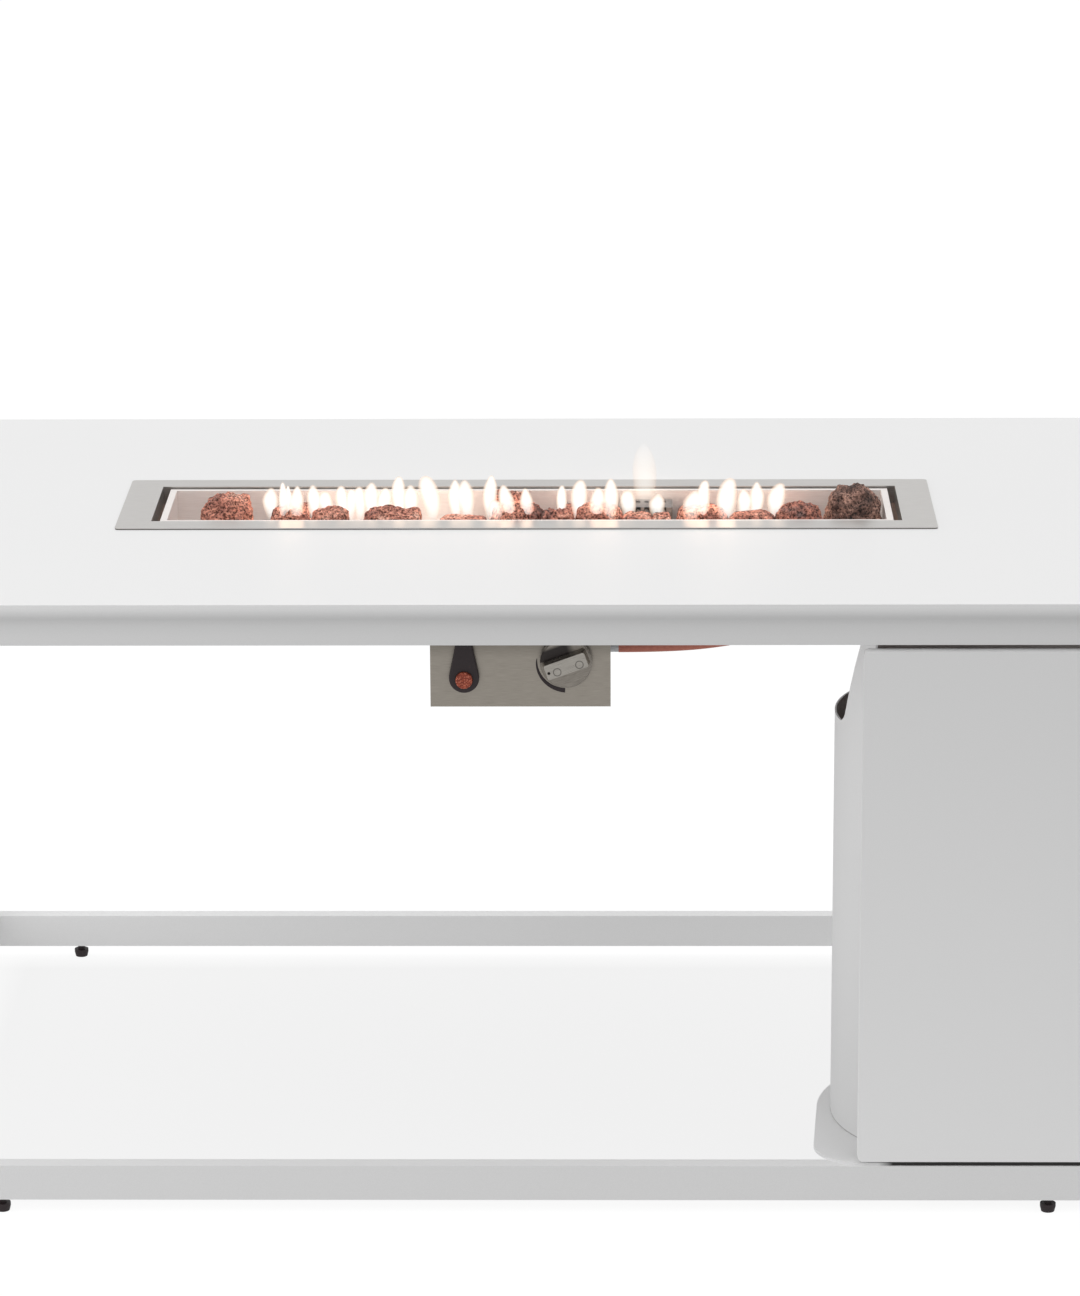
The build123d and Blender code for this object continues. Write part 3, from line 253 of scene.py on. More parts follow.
# Plain finishes
coat_dark = (233, 233, 233)
coat_light = (237, 237, 237)
white_coat = grained("white powder coat", coat_dark, coat_light, 900, (0.4, 0.5), bump=0.06, depth=0.00006)
tray_steel = grained(
    "tray steel", (230, 223, 219), (241, 236, 233), 60, (0.42, 0.52), 0.3, 30, bump=0.05, depth=0.00003
)
# Painted light: a paler copy of the white coat for the low back rail, which lies in shade under the table
painted_light_coat = grained("white coat painted lighter", (245, 245, 245), (249, 249, 249), 900, (0.4, 0.5), bump=0.06)
burner_steel = grained(
    "heat-dulled steel", (112, 104, 98), (150, 143, 137), 90, (0.4, 0.6), 1.0, 8, depth=0.0001
)
zinc = grained("zinc plating", (158, 160, 163), (192, 193, 195), 300, (0.3, 0.45), 1.0)
black_plastic = grained(
    "black moulded plastic", (34, 25, 27), (50, 38, 41), 1200, (0.45, 0.62), bump=0.2, depth=0.0001
)
brass = grained("turned brass", (176, 138, 74), (204, 168, 102), 160, (0.25, 0.4), 1.0)
cast_metal = grained("die-cast metal", (176, 177, 179), (204, 204, 206), 400, (0.4, 0.55), 0.8, bump=0.2)
orange_hose = grained("orange hose rubber", (184, 104, 86), (200, 122, 102), 260, (0.42, 0.56))
lead_jacket = grained("black lead jacket", (24, 24, 24), (38, 38, 38), 500, (0.45, 0.6))
copper = grained("copper tube", (150, 88, 62), (184, 116, 86), 240, (0.3, 0.45), 1.0)
ceramic = grained("white ceramic", (222, 218, 208), (234, 231, 224), 350, (0.4, 0.55))
nylon = grained("white nylon", (214, 213, 208), (228, 227, 223), 420, (0.4, 0.55))
battery = grained("battery sleeve", (34, 36, 44), (52, 54, 64), 180, (0.25, 0.35))


# Finishes that change over a piece
def trim_material():
    """Brushed steel with a painted shade low on its front edge, in the gap where it meets the top."""
    material, tree, shader, place = new_material("trim steel")
    y, z = axes_node(tree, place)[1:]
    low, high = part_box("burner_trim")
    grain = noise_node(tree, place, 60, stretch=(1, 40, 40))
    steel = two_tone(tree, grain, (191, 188, 185), (210, 208, 205))
    # Painted shade: a dark band low on the front edge, where the trim meets the top
    edge = range_node(tree, y, low.y + 0.004, low.y + 0.002)
    painted_gap_shade = math_node(tree, "MULTIPLY", edge, range_node(tree, z, high.z - 0.0008, high.z - 0.0011))
    tree.links.new(mix_node(tree, painted_gap_shade, steel, linear(96, 92, 89)), shader.inputs["Base Color"])
    vary_roughness(tree, grain, shader, 0.28, 0.36)
    shader.inputs["Metallic"].default_value = 1.0
    bump_node(tree, grain, shader, 0.05, 0.00003)
    return material


def painted_shading_coat(tree, place, grain, node, stops):
    """Speckled white with painted light and shade that change over a node's height; stops are (share of
    height, level).
    """
    low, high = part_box(node)
    z = axes_node(tree, place)[2]
    shades = [(share, linear(level, level, level)) for share, level in stops]
    coat = ramp_node(tree, range_node(tree, z, low.z, high.z), shades)
    speckle = ramp_node(tree, grain, ((grain_start, (0.97, 0.97, 0.97, 1)), (grain_end, (1, 1, 1, 1))))
    return mix_node(tree, 1.0, coat, speckle, "MULTIPLY")


def painted_shading_material(name, node, stops):
    """White powder coat with painted light and shade over the height of a node."""
    material, tree, shader, place = new_material(name)
    grain = noise_node(tree, place, 900)
    tree.links.new(painted_shading_coat(tree, place, grain, node, stops), shader.inputs["Base Color"])
    vary_roughness(tree, grain, shader, 0.4, 0.5)
    bump_node(tree, grain, shader, 0.06, 0.00006)
    return material


# Painted shade: the edge bars are darker in their cove; painted light: the door is paler towards the floor
apron_shade_stops = ((0.2, 226), (0.42, 223), (0.68, 218), (0.84, 227), (1.0, 234))
apron_shaded_coat = painted_shading_material("edge bar coat with painted shade", "apron_front", apron_shade_stops)
# Painted light: the door is paler towards the floor, as if lit from below
door_lit_coat = painted_shading_material("door coat with painted light", "tank_door", ((0.0, 247), (1.0, 232)))


def panel_material():
    """Brushed steel with a painted shadow under the edge of the table."""
    material, tree, shader, place = new_material("panel steel")
    z = axes_node(tree, place)[2]
    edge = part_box("apron_front")[0].z
    grain = noise_node(tree, place, 70, stretch=(1, 40, 40))
    steel = two_tone(tree, grain, (160, 153, 143), (184, 177, 167))
    # Painted shadow: darker just below the edge of the table
    shade = range_node(tree, z, edge - 0.03, edge - 0.01, 0.0, 0.5)
    tree.links.new(mix_node(tree, shade, steel, linear(88, 82, 74)), shader.inputs["Base Color"])
    vary_roughness(tree, grain, shader, 0.32, 0.42)
    shader.inputs["Metallic"].default_value = 1.0
    bump_node(tree, grain, shader, 0.05, 0.00003)
    return material


def plate_material():
    """White coat with a painted shadow in the gap under the door."""
    material, tree, shader, place = new_material("base plate coat")
    low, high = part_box("tank_door")
    x, y = axes_node(tree, place)[:2]
    # Painted shadow: a dark strip under the door, from a little way in from its left end
    along = range_node(tree, x, low.x + 0.022, low.x + 0.038)
    painted_gap_shadow = math_node(tree, "MULTIPLY", along, range_node(tree, y, high.y, high.y - 0.004))
    grain = noise_node(tree, place, 900)
    coat = two_tone(tree, grain, coat_dark, coat_light)
    tree.links.new(mix_node(tree, painted_gap_shadow, coat, linear(30, 27, 26)), shader.inputs["Base Color"])
    vary_roughness(tree, grain, shader, 0.4, 0.5)
    bump_node(tree, grain, shader, 0.06, 0.00006)
    return material


def hood_material():
    """Heat-greyed steel, sooty inside; round the holes in its top and down the columns of its front, soot and
    painted shade of the holes.
    """
    material, tree, shader, place = new_material("hood steel")
    low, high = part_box("pilot_hood")
    middle = (low + high) / 2
    grain = noise_node(tree, place, 220)
    steel = two_tone(tree, grain, (112, 106, 103), (146, 139, 136))
    x, y = axes_node(tree, local_node(tree, place, middle))[:2]
    hole_pitch = 0.0095
    row_end = 0.024
    top_row = 0.0075
    front_row = (low.y - high.y) / 2
    beside = math_node(tree, "PINGPONG", x, hole_pitch / 2)
    end = range_node(tree, math_node(tree, "ABSOLUTE", x, 0.0), row_end + 0.0005, row_end - 0.0005)
    beside_square = math_node(tree, "MULTIPLY", beside, beside)
    # Soot inside; soot and painted shade round the holes of both rows
    soot_and_hole_shade = inside_node(tree, place, middle, 0.0, -0.002)
    for row_y, spread in ((top_row, 0.5), (front_row, 1.0)):
        off_row = math_node(tree, "MULTIPLY", math_node(tree, "SUBTRACT", y, row_y), spread)
        away_square = math_node(tree, "ADD", beside_square, math_node(tree, "MULTIPLY", off_row, off_row))
        hole_soot_and_shade = range_node(tree, math_node(tree, "SQRT", away_square, 0.0), 0.0036, 0.0022)
        soot_and_hole_shade = math_node(tree, "MAXIMUM", soot_and_hole_shade, math_node(tree, "MULTIPLY", hole_soot_and_shade, end))
    soot_and_shade_colour = two_tone(tree, grain, (10, 9, 9), (18, 16, 16))
    tree.links.new(mix_node(tree, soot_and_hole_shade, steel, soot_and_shade_colour), shader.inputs["Base Color"])
    vary_roughness(tree, grain, shader, 0.5, 0.65)
    shader.inputs["Metallic"].default_value = 0.3
    bump_node(tree, grain, shader, 0.1, 0.0002)
    return material


def housing_material():
    """Plain zinc-grey steel outside; inside round the tray, painted light makes it paler and warmer."""
    material, tree, shader, place = new_material("housing steel")
    low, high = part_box("burner_housing")
    inside = inside_node(tree, place, (low + high) / 2, 0.0, -0.002)
    grain = noise_node(tree, place, 90, stretch=(1, 8, 8))
    outer = two_tone(tree, grain, (158, 158, 160), (184, 184, 186))
    # Painted light: the inner faces are paler and warmer than the outer steel
    inner = two_tone(tree, grain, (228, 207, 196), (240, 222, 212))
    tree.links.new(mix_node(tree, inside, outer, inner), shader.inputs["Base Color"])
    vary_roughness(tree, grain, shader, 0.5, 0.65)
    tree.links.new(range_node(tree, inside, 0.0, 1.0, 0.7, 0.2), shader.inputs["Metallic"])
    bump_node(tree, grain, shader, 0.1, 0.0002)
    return material


def cover_material():
    """White coat outside with painted shade towards its foot, a grey painted shade inside, and a fine painted
    shadow along the foot.
    """
    material, tree, shader, place = new_material("tank cover coat")
    low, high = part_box("tank_cover")
    radius = (high.x - low.x) / 2
    middle = Vector((low.x + radius, high.y - radius, 0))
    inside = inside_node(tree, place, middle, -0.02, -0.03)
    grain = noise_node(tree, place, 900)
    # Painted shade: the outside darker towards its foot
    coat = painted_shading_coat(tree, place, grain, "tank_cover", ((0.0, 222), (0.35, 233), (0.6, 238), (1.0, 249)))
    # Painted shade: the inner faces get a grey copy of the white coat
    painted_inner_shade = two_tone(tree, grain, (182, 175, 172), (194, 187, 184))
    z = axes_node(tree, place)[2]
    # Painted shadow: a fine dark line along the foot, where the cover stands on the plate
    painted_gap_shade = range_node(tree, z, low.z + 0.0004, low.z + 0.0016, 0.55, 0.0)
    with_foot_shade = mix_node(tree, painted_gap_shade, coat, linear(70, 66, 64))
    tree.links.new(mix_node(tree, inside, with_foot_shade, painted_inner_shade), shader.inputs["Base Color"])
    vary_roughness(tree, grain, shader, 0.4, 0.5)
    bump_node(tree, grain, shader, 0.06, 0.00006)
    return material


def knob_material():
    """Satin silver with a pale grip face, a painted shade above it, a dot and two faint rings on it."""
    material, tree, shader, place = new_material("satin silver knob")
    low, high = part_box("control_knob")
    middle = (low + high) / 2
    face = low.y - middle.y
    own = local_node(tree, place, middle, (0, math.radians(-20), 0))
    along, depth, over = axes_node(tree, own)
    grain = noise_node(tree, own, 90, stretch=(1, 14, 14))
    on_face = range_node(tree, depth, face + 0.0016, face + 0.0008)
    skirt = two_tone(tree, grain, (140, 134, 126), (168, 161, 152))
    grip = two_tone(tree, grain, (174, 169, 161), (194, 189, 181))
    silver = mix_node(tree, on_face, skirt, grip)
    # Painted shade: a dark, less metallic patch on the skirt just above the grip bar
    shade_above_grip_low = range_node(tree, over, 0.0088, 0.0098)
    shade_above_grip_high = range_node(tree, over, 0.0225, 0.019)
    shade_above_grip_end = range_node(tree, along, 0.014, 0.006)
    shade_above_grip = math_node(tree, "MULTIPLY", math_node(tree, "MULTIPLY", shade_above_grip_low, shade_above_grip_high), shade_above_grip_end)
    shaded = mix_node(tree, shade_above_grip, silver, linear(48, 40, 38))
    marks = range_node(tree, vector_node(tree, "DISTANCE", own, (-0.0195, face, -0.001)), 0.0018, 0.0014)
    for ring_along, ring_over in ((-0.0108, -0.0027), (0.0140, -0.0030)):
        away = vector_node(tree, "DISTANCE", own, (ring_along, face, ring_over))
        off_ring = math_node(tree, "ABSOLUTE", math_node(tree, "SUBTRACT", away, 0.0040), 0.0)
        marks = math_node(tree, "MAXIMUM", marks, range_node(tree, off_ring, 0.0008, 0.0003, 0.0, 0.6))
    tree.links.new(mix_node(tree, marks, shaded, linear(36, 32, 31)), shader.inputs["Base Color"])
    vary_roughness(tree, grain, shader, 0.26, 0.38)
    tree.links.new(range_node(tree, shade_above_grip, 0.0, 1.0, 0.85, 0.2), shader.inputs["Metallic"])
    bump_node(tree, grain, shader, 0.05, 0.00003)
    return material


def button_material():
    """Orange plastic with paler raised specks."""
    material, tree, shader, place = new_material("orange speckled plastic")
    specks = cell_node(tree, place, 620)
    colour = ramp_node(
        tree, specks, ((0.15, linear(214, 142, 118)), (0.4, linear(180, 80, 52)), (0.7, linear(128, 52, 34)))
    )
    tree.links.new(colour, shader.inputs["Base Color"])
    tree.links.new(range_node(tree, specks, 0.1, 0.6, 0.4, 0.6), shader.inputs["Roughness"])
    bump_node(tree, math_node(tree, "SUBTRACT", 1.0, specks), shader, 0.5, 0.0003)
    return material


def lava_material():
    """Porous salmon and grey-brown stone with dark pits; the stone at the right end is nearly black."""
    material, tree, shader, place = new_material("lava stone")
    broad = noise_node(tree, place, 34, detail=6.0, roughness=0.6)
    red = ramp_node(
        tree,
        broad,
        (
            (0.34, linear(122, 94, 88)),
            (0.44, linear(178, 117, 101)),
            (0.56, linear(216, 150, 129)),
            (0.7, linear(233, 186, 167)),
        ),
    )
    black = ramp_node(
        tree,
        broad,
        ((0.36, linear(68, 50, 45)), (0.5, linear(138, 105, 93)), (0.62, linear(196, 153, 136))),
    )
    x = axes_node(tree, place)[0]
    end_stone = 0.332
    colour = mix_node(tree, range_node(tree, x, end_stone - 0.0005, end_stone + 0.0005), red, black)
    grain = noise_node(tree, place, 300, detail=3.0, roughness=0.7)
    mottle = ramp_node(
        tree, grain, ((0.38, (0.16, 0.13, 0.12, 1)), (0.5, (0.88, 0.88, 0.88, 1)), (0.62, (1.5, 1.5, 1.5, 1)))
    )
    pits = cell_node(tree, place, 260)
    shade = ramp_node(tree, pits, ((0.12, (0.12, 0.1, 0.09, 1)), (0.36, (1, 1, 1, 1))))
    mottled = mix_node(tree, 1.0, colour, mottle, "MULTIPLY")
    tree.links.new(mix_node(tree, 1.0, mottled, shade, "MULTIPLY"), shader.inputs["Base Color"])
    vary_roughness(tree, broad, shader, 0.8, 0.95)
    bump_node(tree, math_node(tree, "ADD", pits, grain), shader, 0.9, 0.0012)
    return material


def bare_material(name):
    """Empty node material; returns it with its tree, surface socket, object coordinates and kinds of ray."""
    material = bpy.data.materials.new(name)
    material.use_nodes = True
    tree = material.node_tree
    tree.nodes.clear()
    output = tree.nodes.new("ShaderNodeOutputMaterial")
    place = tree.nodes.new("ShaderNodeTexCoord")
    light_path = tree.nodes.new("ShaderNodeLightPath")
    return material, tree, output.inputs["Surface"], place.outputs["Object"], light_path.outputs


def mix_shaders(tree, share, first, second):
    """Mix of two shaders with a share of the second."""
    mix = tree.nodes.new("ShaderNodeMixShader")
    tree.links.new(share, mix.inputs["Fac"])
    tree.links.new(first.outputs[0], mix.inputs[1])
    tree.links.new(second.outputs[0], mix.inputs[2])
    return mix.outputs[0]


# Flames in front of the tube start and end higher by this share of their distance from it
flame_slope = 0.25


def flame_material(name, fullness, start, end):
    """White-hot middle, peach rim, clear at the edge and towards the foot; it lights the tray round it.

    The flame fades in from a start above the tube and out again from an end above it.
    """
    material, tree, surface, place, rays = bare_material(name)
    facing = tree.nodes.new("ShaderNodeLayerWeight")
    facing.inputs["Blend"].default_value = 0.5
    y, z = axes_node(tree, place)[1:]
    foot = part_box("burner_tube")[1].z
    glow = tree.nodes.new("ShaderNodeEmission")
    heat = ramp_node(
        tree,
        facing.outputs["Facing"],
        ((0.0, (1.0, 0.98, 0.95, 1)), (0.15, (1.0, 0.95, 0.88, 1)), (0.45, (1.0, 0.74, 0.56, 1))),
    )
    warm = mix_node(tree, rays["Is Camera Ray"], (1.0, 0.82, 0.69, 1), heat)
    tree.links.new(warm, glow.inputs["Color"])
    seen = range_node(tree, rays["Is Camera Ray"], 0.0, 1.0, 6.0, 1.2)
    mirrored = range_node(tree, rays["Is Glossy Ray"], 0.0, 1.0, 1.0, 0.36)
    tree.links.new(math_node(tree, "MULTIPLY", seen, mirrored), glow.inputs["Strength"])
    edge = range_node(tree, facing.outputs["Facing"], 0.03, 0.55, fullness, 0.0)
    rise = math_node(tree, "ADD", z, math_node(tree, "MULTIPLY", y, flame_slope))
    root = range_node(tree, rise, foot + start, foot + start + 0.022, 0.02, 1.0)
    tip = range_node(tree, z, foot + end, foot + end + 0.03, 1.0, 0.1)
    fade = math_node(tree, "MULTIPLY", root, tip)
    clear = tree.nodes.new("ShaderNodeBsdfTransparent")
    shown = math_node(tree, "MULTIPLY", edge, fade)
    tree.links.new(mix_shaders(tree, shown, clear, glow), surface)
    return material


# Materials by slot, and by node for the pieces with a finish of their own or with painted light and shade
lava_stone = lava_material()
slot_materials = {
    "white_top": white_coat,
    "white_frame": white_coat,
    "brushed_steel": tray_steel,
    "burner_steel": burner_steel,
    "zinc_steel": zinc,
    "black_plastic": black_plastic,
    "orange_plastic": button_material(),
    "silver_knob": knob_material(),
    "brass": brass,
    "cast_metal": cast_metal,
    "orange_hose": orange_hose,
    "lead_jacket": lead_jacket,
    "copper": copper,
    "ceramic": ceramic,
    "lava_stone": lava_stone,
    "nylon": nylon,
    "battery": battery,
}
node_materials = {
    "control_panel": panel_material(),
    "burner_trim": trim_material(),
    "burner_housing": housing_material(),
    "pilot_hood": hood_material(),
    "tank_cover": cover_material(),
    "tank_base_plate": plate_material(),
    "tank_door": door_lit_coat,
    "back_rail": painted_light_coat,
}
for side_name in ("front", "back", "left", "right"):
    node_materials[f"apron_{side_name}"] = apron_shaded_coat
for subpart in frame["record"]["subparts"]:
    node = nodes[subpart["node"]]
    node.data.materials.clear()
    node.data.materials.append(node_materials.get(subpart["node"], slot_materials[subpart["material_slot"]]))

# Soft edges on pieces whose edges catch the light, in metres
edge_rounds = {
    "table_top": 0.0006,
    "tank_door": 0.0010,
    "front_rail": 0.0012,
    "back_rail": 0.0012,
    "end_rails": 0.0012,
    "tank_base_plate": 0.0006,
    "burner_trim": 0.0004,
    "burner_tray": 0.0004,
    "control_knob": 0.0007,
    "control_panel": 0.0003,
}
for name, width in edge_rounds.items():
    bevel = nodes[name].modifiers.new("soft edges", "BEVEL")
    bevel.width = width
    bevel.segments = 2
    bevel.limit_method = "ANGLE"
    bevel.angle_limit = math.radians(40)
    bevel.harden_normals = False


def add_piece(name, data, body=TABLE):
    """New piece in the scene that moves with a body."""
    piece = bpy.data.objects.new(name, data)
    scene.collection.objects.link(piece)
    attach(piece, body)
    return piece


def flat_mesh(name, shape, material):
    """Mesh from a finished shape, with one material."""
    data = bpy.data.meshes.new(name)
    shape.to_mesh(data)
    shape.free()
    data.materials.append(material)
    return data


def smooth_mesh(name, shape, material):
    """Mesh from a finished shape, shaded smooth, with one material."""
    data = flat_mesh(name, shape, material)
    data.shade_smooth()
    return data


# Copies of the springs of the knob and the button
def add_spring(node):
    """Copy of a CAD spring that stands in for the CAD node, which is hidden."""
    spring = add_piece(f"{node}_coil", nodes[node].data.copy())
    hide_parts(node)
    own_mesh(spring)


add_spring("valve_spring")
add_spring("button_spring")

# Gas hose along the route of the CAD tube, in mm
hose_route = (
    (102.0, -302.0, 600.0),
    (146.0, -302.0, 600.0),
    (205.0, -299.5, 603.5),
    (275.0, -291.0, 615.0),
    (345.0, -278.0, 625.0),
    (417.5, -268.0, 628.0),
    (492.5, -268.0, 628.0),
    (573.7, -263.5, 620.0),
    (607.2, -262.8, 598.2),
    (626.0, -262.5, 562.9),
    (627.0, -262.0, 490.0),
    (625.0, -263.3, 365.0),
    (626.0, -262.5, 245.1),
    (626.0, -262.5, 168.1),
)
hose_radius = 0.006
hose_curve = bpy.data.curves.new("hose_line", "CURVE")
hose_curve.dimensions = "3D"
hose_curve.bevel_depth = hose_radius
hose_curve.bevel_resolution = 6
hose_curve.use_fill_caps = True
hose_line = hose_curve.splines.new("NURBS")
hose_line.points.add(len(hose_route) - 1)
for point, place in zip(hose_line.points, hose_route):
    point.co = (*(value / 1000 for value in place), 1.0)
hose_line.order_u = 3
hose_line.use_endpoint_u = True
hose_line.resolution_u = 16
hose_curve.materials.append(orange_hose)
hose = add_piece("hose_line", hose_curve)
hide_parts("gas_hose")


# Lava stones: rough pitted lumps, each as high and deep as its plain CAD stone
def stone_boxes():
    """Lowest and highest corner of each separate stone of the CAD node."""
    shape = bmesh.new()
    shape.from_mesh(nodes["lava_rocks"].data)
    bmesh.ops.remove_doubles(shape, verts=shape.verts, dist=0.00001)
    waiting = set(shape.verts)
    boxes = []
    while waiting:
        found = [waiting.pop()]
        for vertex in found:
            for edge in vertex.link_edges:
                other = edge.other_vert(vertex)
                if other in waiting:
                    waiting.remove(other)
                    found.append(other)
        low = Vector(min(vertex.co[axis] for vertex in found) for axis in range(3))
        high = Vector(max(vertex.co[axis] for vertex in found) for axis in range(3))
        boxes.append((low, high))
    shape.free()
    return sorted(boxes, key=lambda box: (round(box[0].x, 4), round(box[0].y, 4)))


def lump(direction, seed, block, rough):
    """Distance of a stone's surface from its middle: lumps, ridges and pits on a ball or a block."""
    shift = Vector((seed * 7.3, seed * 3.1, seed * 5.7))
    blunt = sum(abs(value) ** block for value in direction) ** (-1 / block)
    broad = noise.noise(direction * 1.4 + shift)
    ridges = noise.noise(direction * 3.2 + shift)
    knobs = noise.noise(direction * 9.0 + shift)
    pit = max(0.0, 1 - noise.voronoi(direction * 6.5 + shift)[0][0] / 0.34)
    fine_pit = max(0.0, 1 - noise.voronoi(direction * 14 + shift)[0][0] / 0.36)
    uneven = 0.12 * broad + 0.12 * ridges + 0.06 * knobs - 0.1 * pit - 0.06 * fine_pit
    return blunt * (1 + rough * uneven)


# Stones above the first height are mounds, stones below the second are smoother
mound_height = 0.06
smooth_height = 0.053


def add_stone(shape, seed, low, high):
    """One stone in its box, drawn out along x so that the stones of the front row lie close."""
    height = high.z - low.z
    block = 2.6 if height > mound_height else 5.0
    rough = 1.0 if height > smooth_height else 0.4
    widening = 0.3 if high.y < 0 else 0.14
    flat_foot = -0.85
    clearance = 0.0003
    made = bmesh.ops.create_icosphere(shape, subdivisions=5, radius=1.0)["verts"]
    for vertex in made:
        direction = vertex.co.normalized()
        vertex.co = direction * lump(direction, seed, block, rough)
        vertex.co.z = max(vertex.co.z, flat_foot)
    least = [min(vertex.co[axis] for vertex in made) for axis in range(3)]
    most = [max(vertex.co[axis] for vertex in made) for axis in range(3)]
    for vertex in made:
        for axis in range(3):
            share = (vertex.co[axis] - least[axis]) / (most[axis] - least[axis])
            vertex.co[axis] = low[axis] + clearance + share * (high[axis] - low[axis] - clearance)
        vertex.co.x += widening * (vertex.co.x - (low.x + high.x) / 2)


stone_shape = bmesh.new()
stones = stone_boxes()
for seed, (low, high) in enumerate(stones):
    add_stone(stone_shape, seed, low, high)
lava_stones = add_piece("lava_stones", smooth_mesh("lava_stones", stone_shape, lava_stone))
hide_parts("lava_rocks")

# Flames over the burner tube: x, tip height above the tube, width and lean of the tip in mm
flame_sizes = (
    (-288, 44, 15, 0),
    (-272, 50, 10, 1),
    (-265, 46, 8, 0),
    (-256, 46, 14, 0),
    (-240, 47, 14, 0),
    (-226, 40, 14, -1),
    (-207, 46, 12, -2),
    (-198, 42, 11, 0),
    (-189, 45, 12, 1),
    (-175, 50, 15, 0),
    (-161, 44, 14, 1),
    (-144, 57, 14, 0),
    (-130, 47, 15, -2),
    (-107, 58, 19, -7),
    (-80, 53, 14, -2),
    (-68, 53, 17, -3),
    (-42, 58, 14, 1),
    (-34, 30, 15, -2),
    (-18, 47, 15, -9),
    (2, 43, 13, -5),
    (37, 46, 10, 3),
    (56, 53, 16, 5),
    (78, 44, 15, 1),
    (92, 54, 15, 2),
    (113, 41, 15, 0),
    (146, 37, 15, 0),
    (183, 41, 18, 5),
    (195, 52, 13, 4),
    (220, 55, 19, 7),
    (243, 42, 14, 0),
    (256, 50, 14, 2),
    (277, 49, 17, 7),
)


def flame_half_width(share, point):
    """Share of a flame's half width at a share of its height: slim below, round or pointed above."""
    widest = 0.62
    if share < widest:
        return 0.3 + 0.7 * math.sin(math.pi / 2 * share / widest)
    return (1 - ((share - widest) / (1 - widest)) ** 2) ** point


def flame_depth(x):
    """Where a flame comes up: over the tube, or in front of a tall stone that covers it."""
    tall_top = 0.69
    for low, high in stones:
        if low.x < x / 1000 < high.x and high.y < 0 and high.z > tall_top:
            return low.y + 0.35 * (high.y - low.y)
    return 0.0


def add_flame(shape, foot, depth, back, x, height, width, lean):
    """One flame: a slim root, a fuller upper part and a tip that leans along and back."""
    point = 0.5 + 0.4 * math.sin(x) ** 2
    height = height / 1000 - flame_slope * depth
    fullness = 1.42
    rings = 18
    around = 16
    loops = []
    for ring in range(rings):
        share = ring / rings
        half = fullness * width / 2000 * flame_half_width(share, point)
        sway = 0.0008 * math.sin(6 * share + x)
        middle = x / 1000 + lean / 1000 * share**2 + sway
        loop = []
        for step in range(around):
            angle = 2 * math.pi * step / around
            across = depth + back * share + half * math.sin(angle)
            loop.append(shape.verts.new((middle + half * math.cos(angle), across, foot + height * share)))
        loops.append(loop)
    tip = shape.verts.new((middle, depth + back, foot + height))
    shape.faces.new(loops[0][::-1])
    for step in range(around):
        after = (step + 1) % around
        for low, high in zip(loops, loops[1:]):
            shape.faces.new((low[step], low[after], high[after], high[step]))
        shape.faces.new((loops[-1][step], loops[-1][after], tip))


flame_shape = bmesh.new()
flame_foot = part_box("burner_tube")[1].z + 0.001
for flame in flame_sizes:
    add_flame(flame_shape, flame_foot, flame_depth(flame[0]), 0.0, *flame)
add_piece("flames", smooth_mesh("flames", flame_shape, flame_material("flame", 0.92, 0.004, 0.09)))
tall_shape = bmesh.new()
add_flame(tall_shape, flame_foot, 0.01, 0.08, 131, 76, 22, 1)
faint_flame = flame_material("faint flame", 0.38, 0.022, 0.046)
add_piece("tall_flame", smooth_mesh("tall_flame", tall_shape, faint_flame))


# Tapered black arc on the panel round the lower left of the knob
def setting_arc():
    """Flat ribbon from a thin end beside the knob to a thick end below it."""
    knob_low, knob_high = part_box("control_knob")
    middle = (knob_low + knob_high) / 2
    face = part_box("control_panel")[0].y
    shape = bmesh.new()
    steps = 24
    rows = []
    for step in range(steps + 1):
        share = step / steps
        angle = math.radians(176 + 92 * share)
        inner = 0.0306
        outer = inner + 0.0005 + 0.0045 * share**0.6
        row = []
        for radius in (inner, outer):
            place_x = middle.x + radius * math.cos(angle)
            place_z = middle.z + radius * math.sin(angle)
            for depth in (0.0, -0.0002):
                row.append(shape.verts.new((place_x, face + depth, place_z)))
        rows.append(row)
    for row, after in zip(rows, rows[1:]):
        for first, second in ((0, 1), (1, 3), (3, 2), (2, 0)):
            shape.faces.new((row[first], row[second], after[second], after[first]))
    for row in (rows[0], rows[-1]):
        shape.faces.new((row[0], row[1], row[3], row[2]))
    bmesh.ops.recalc_face_normals(shape, faces=shape.faces)
    return flat_mesh("setting_arc", shape, black_plastic)


add_piece("setting_arc", setting_arc())


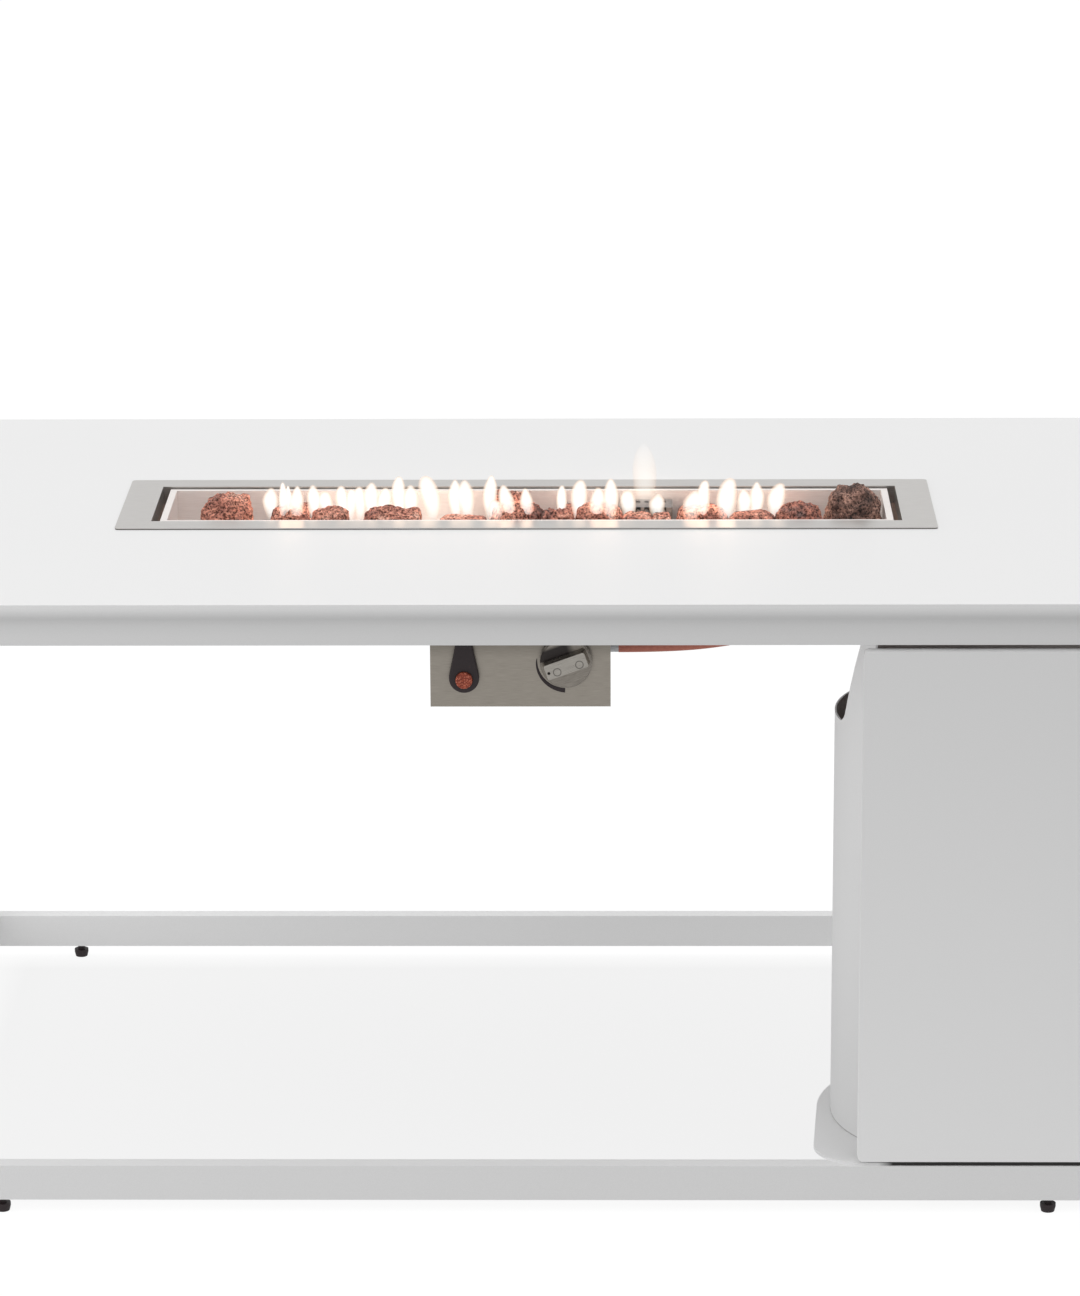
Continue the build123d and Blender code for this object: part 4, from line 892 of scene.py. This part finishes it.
# Stage: a pale floor and soft light from above and from the left
def floor_material():
    """Pale matte floor that glows plain white for the camera, with a faint soft shade under the table.

    It is clear from below, so that the underside of the table can be looked at.
    """
    material, tree, surface, place, rays = bare_material("pale floor")
    glow = tree.nodes.new("ShaderNodeEmission")
    x, y = axes_node(tree, place)[:2]
    low, high = cad_bounds
    across = math_node(
        tree, "MULTIPLY", range_node(tree, x, low.x, low.x + 0.1), range_node(tree, x, high.x, high.x - 0.1)
    )
    along = math_node(
        tree, "MULTIPLY", range_node(tree, y, low.y, low.y + 0.08), range_node(tree, y, high.y, high.y - 0.06)
    )
    shade = math_node(tree, "MULTIPLY", across, along)
    seen = range_node(tree, shade, 0.0, 1.0, 0.94, 0.815)
    other = math_node(tree, "SUBTRACT", 1.0, rays["Is Camera Ray"])
    shown = math_node(tree, "MULTIPLY", seen, rays["Is Camera Ray"])
    strength = math_node(tree, "ADD", shown, math_node(tree, "MULTIPLY", other, 0.5))
    tree.links.new(strength, glow.inputs["Strength"])
    matte = tree.nodes.new("ShaderNodeBsdfDiffuse")
    matte.inputs["Color"].default_value = (0.1, 0.1, 0.1, 1)
    add = tree.nodes.new("ShaderNodeAddShader")
    tree.links.new(glow.outputs[0], add.inputs[0])
    tree.links.new(matte.outputs[0], add.inputs[1])
    geometry = tree.nodes.new("ShaderNodeNewGeometry")
    clear = tree.nodes.new("ShaderNodeBsdfTransparent")
    tree.links.new(mix_shaders(tree, geometry.outputs["Backfacing"], add, clear), surface)
    return material


floor_size = 14.0
floor_shape = bmesh.new()
bmesh.ops.create_grid(floor_shape, x_segments=1, y_segments=1, size=floor_size)
floor = bpy.data.objects.new("floor", flat_mesh("floor", floor_shape, floor_material()))
scene.collection.objects.link(floor)

overhead_light = bpy.data.lights.new("overhead light", "SUN")
overhead_light.energy = 1.6
overhead_light.angle = math.radians(100)
overhead = bpy.data.objects.new("overhead light", overhead_light)
overhead.location = (0, 0, 4.0)
scene.collection.objects.link(overhead)

side_light = bpy.data.lights.new("side light", "AREA")
side_light.shape = "RECTANGLE"
side_light.size = 3.0
side_light.size_y = 1.6
side_light.energy = 32
side = bpy.data.objects.new("side light", side_light)
side.location = (-3.0, -1.2, 0.9)
side.rotation_euler = (math.radians(90), 0, math.radians(-75))
side.visible_glossy = False
scene.collection.objects.link(side)

world = bpy.data.worlds.new("studio")
world.use_nodes = True
scene.world = world
world_tree = world.node_tree
background = world_tree.nodes["Background"]
background.inputs["Color"].default_value = (1, 1, 1, 1)
light_path = world_tree.nodes.new("ShaderNodeLightPath")
plain_level = 0.46
seen_level = range_node(world_tree, light_path.outputs["Is Camera Ray"], 0.0, 1.0, plain_level, 1.0)
mirrored_level = math_node(world_tree, "MULTIPLY", light_path.outputs["Is Glossy Ray"], 0.36)
world_tree.links.new(
    math_node(world_tree, "ADD", seen_level, mirrored_level), background.inputs["Strength"]
)

scene.view_settings.view_transform = "Standard"
scene.view_settings.look = "None"
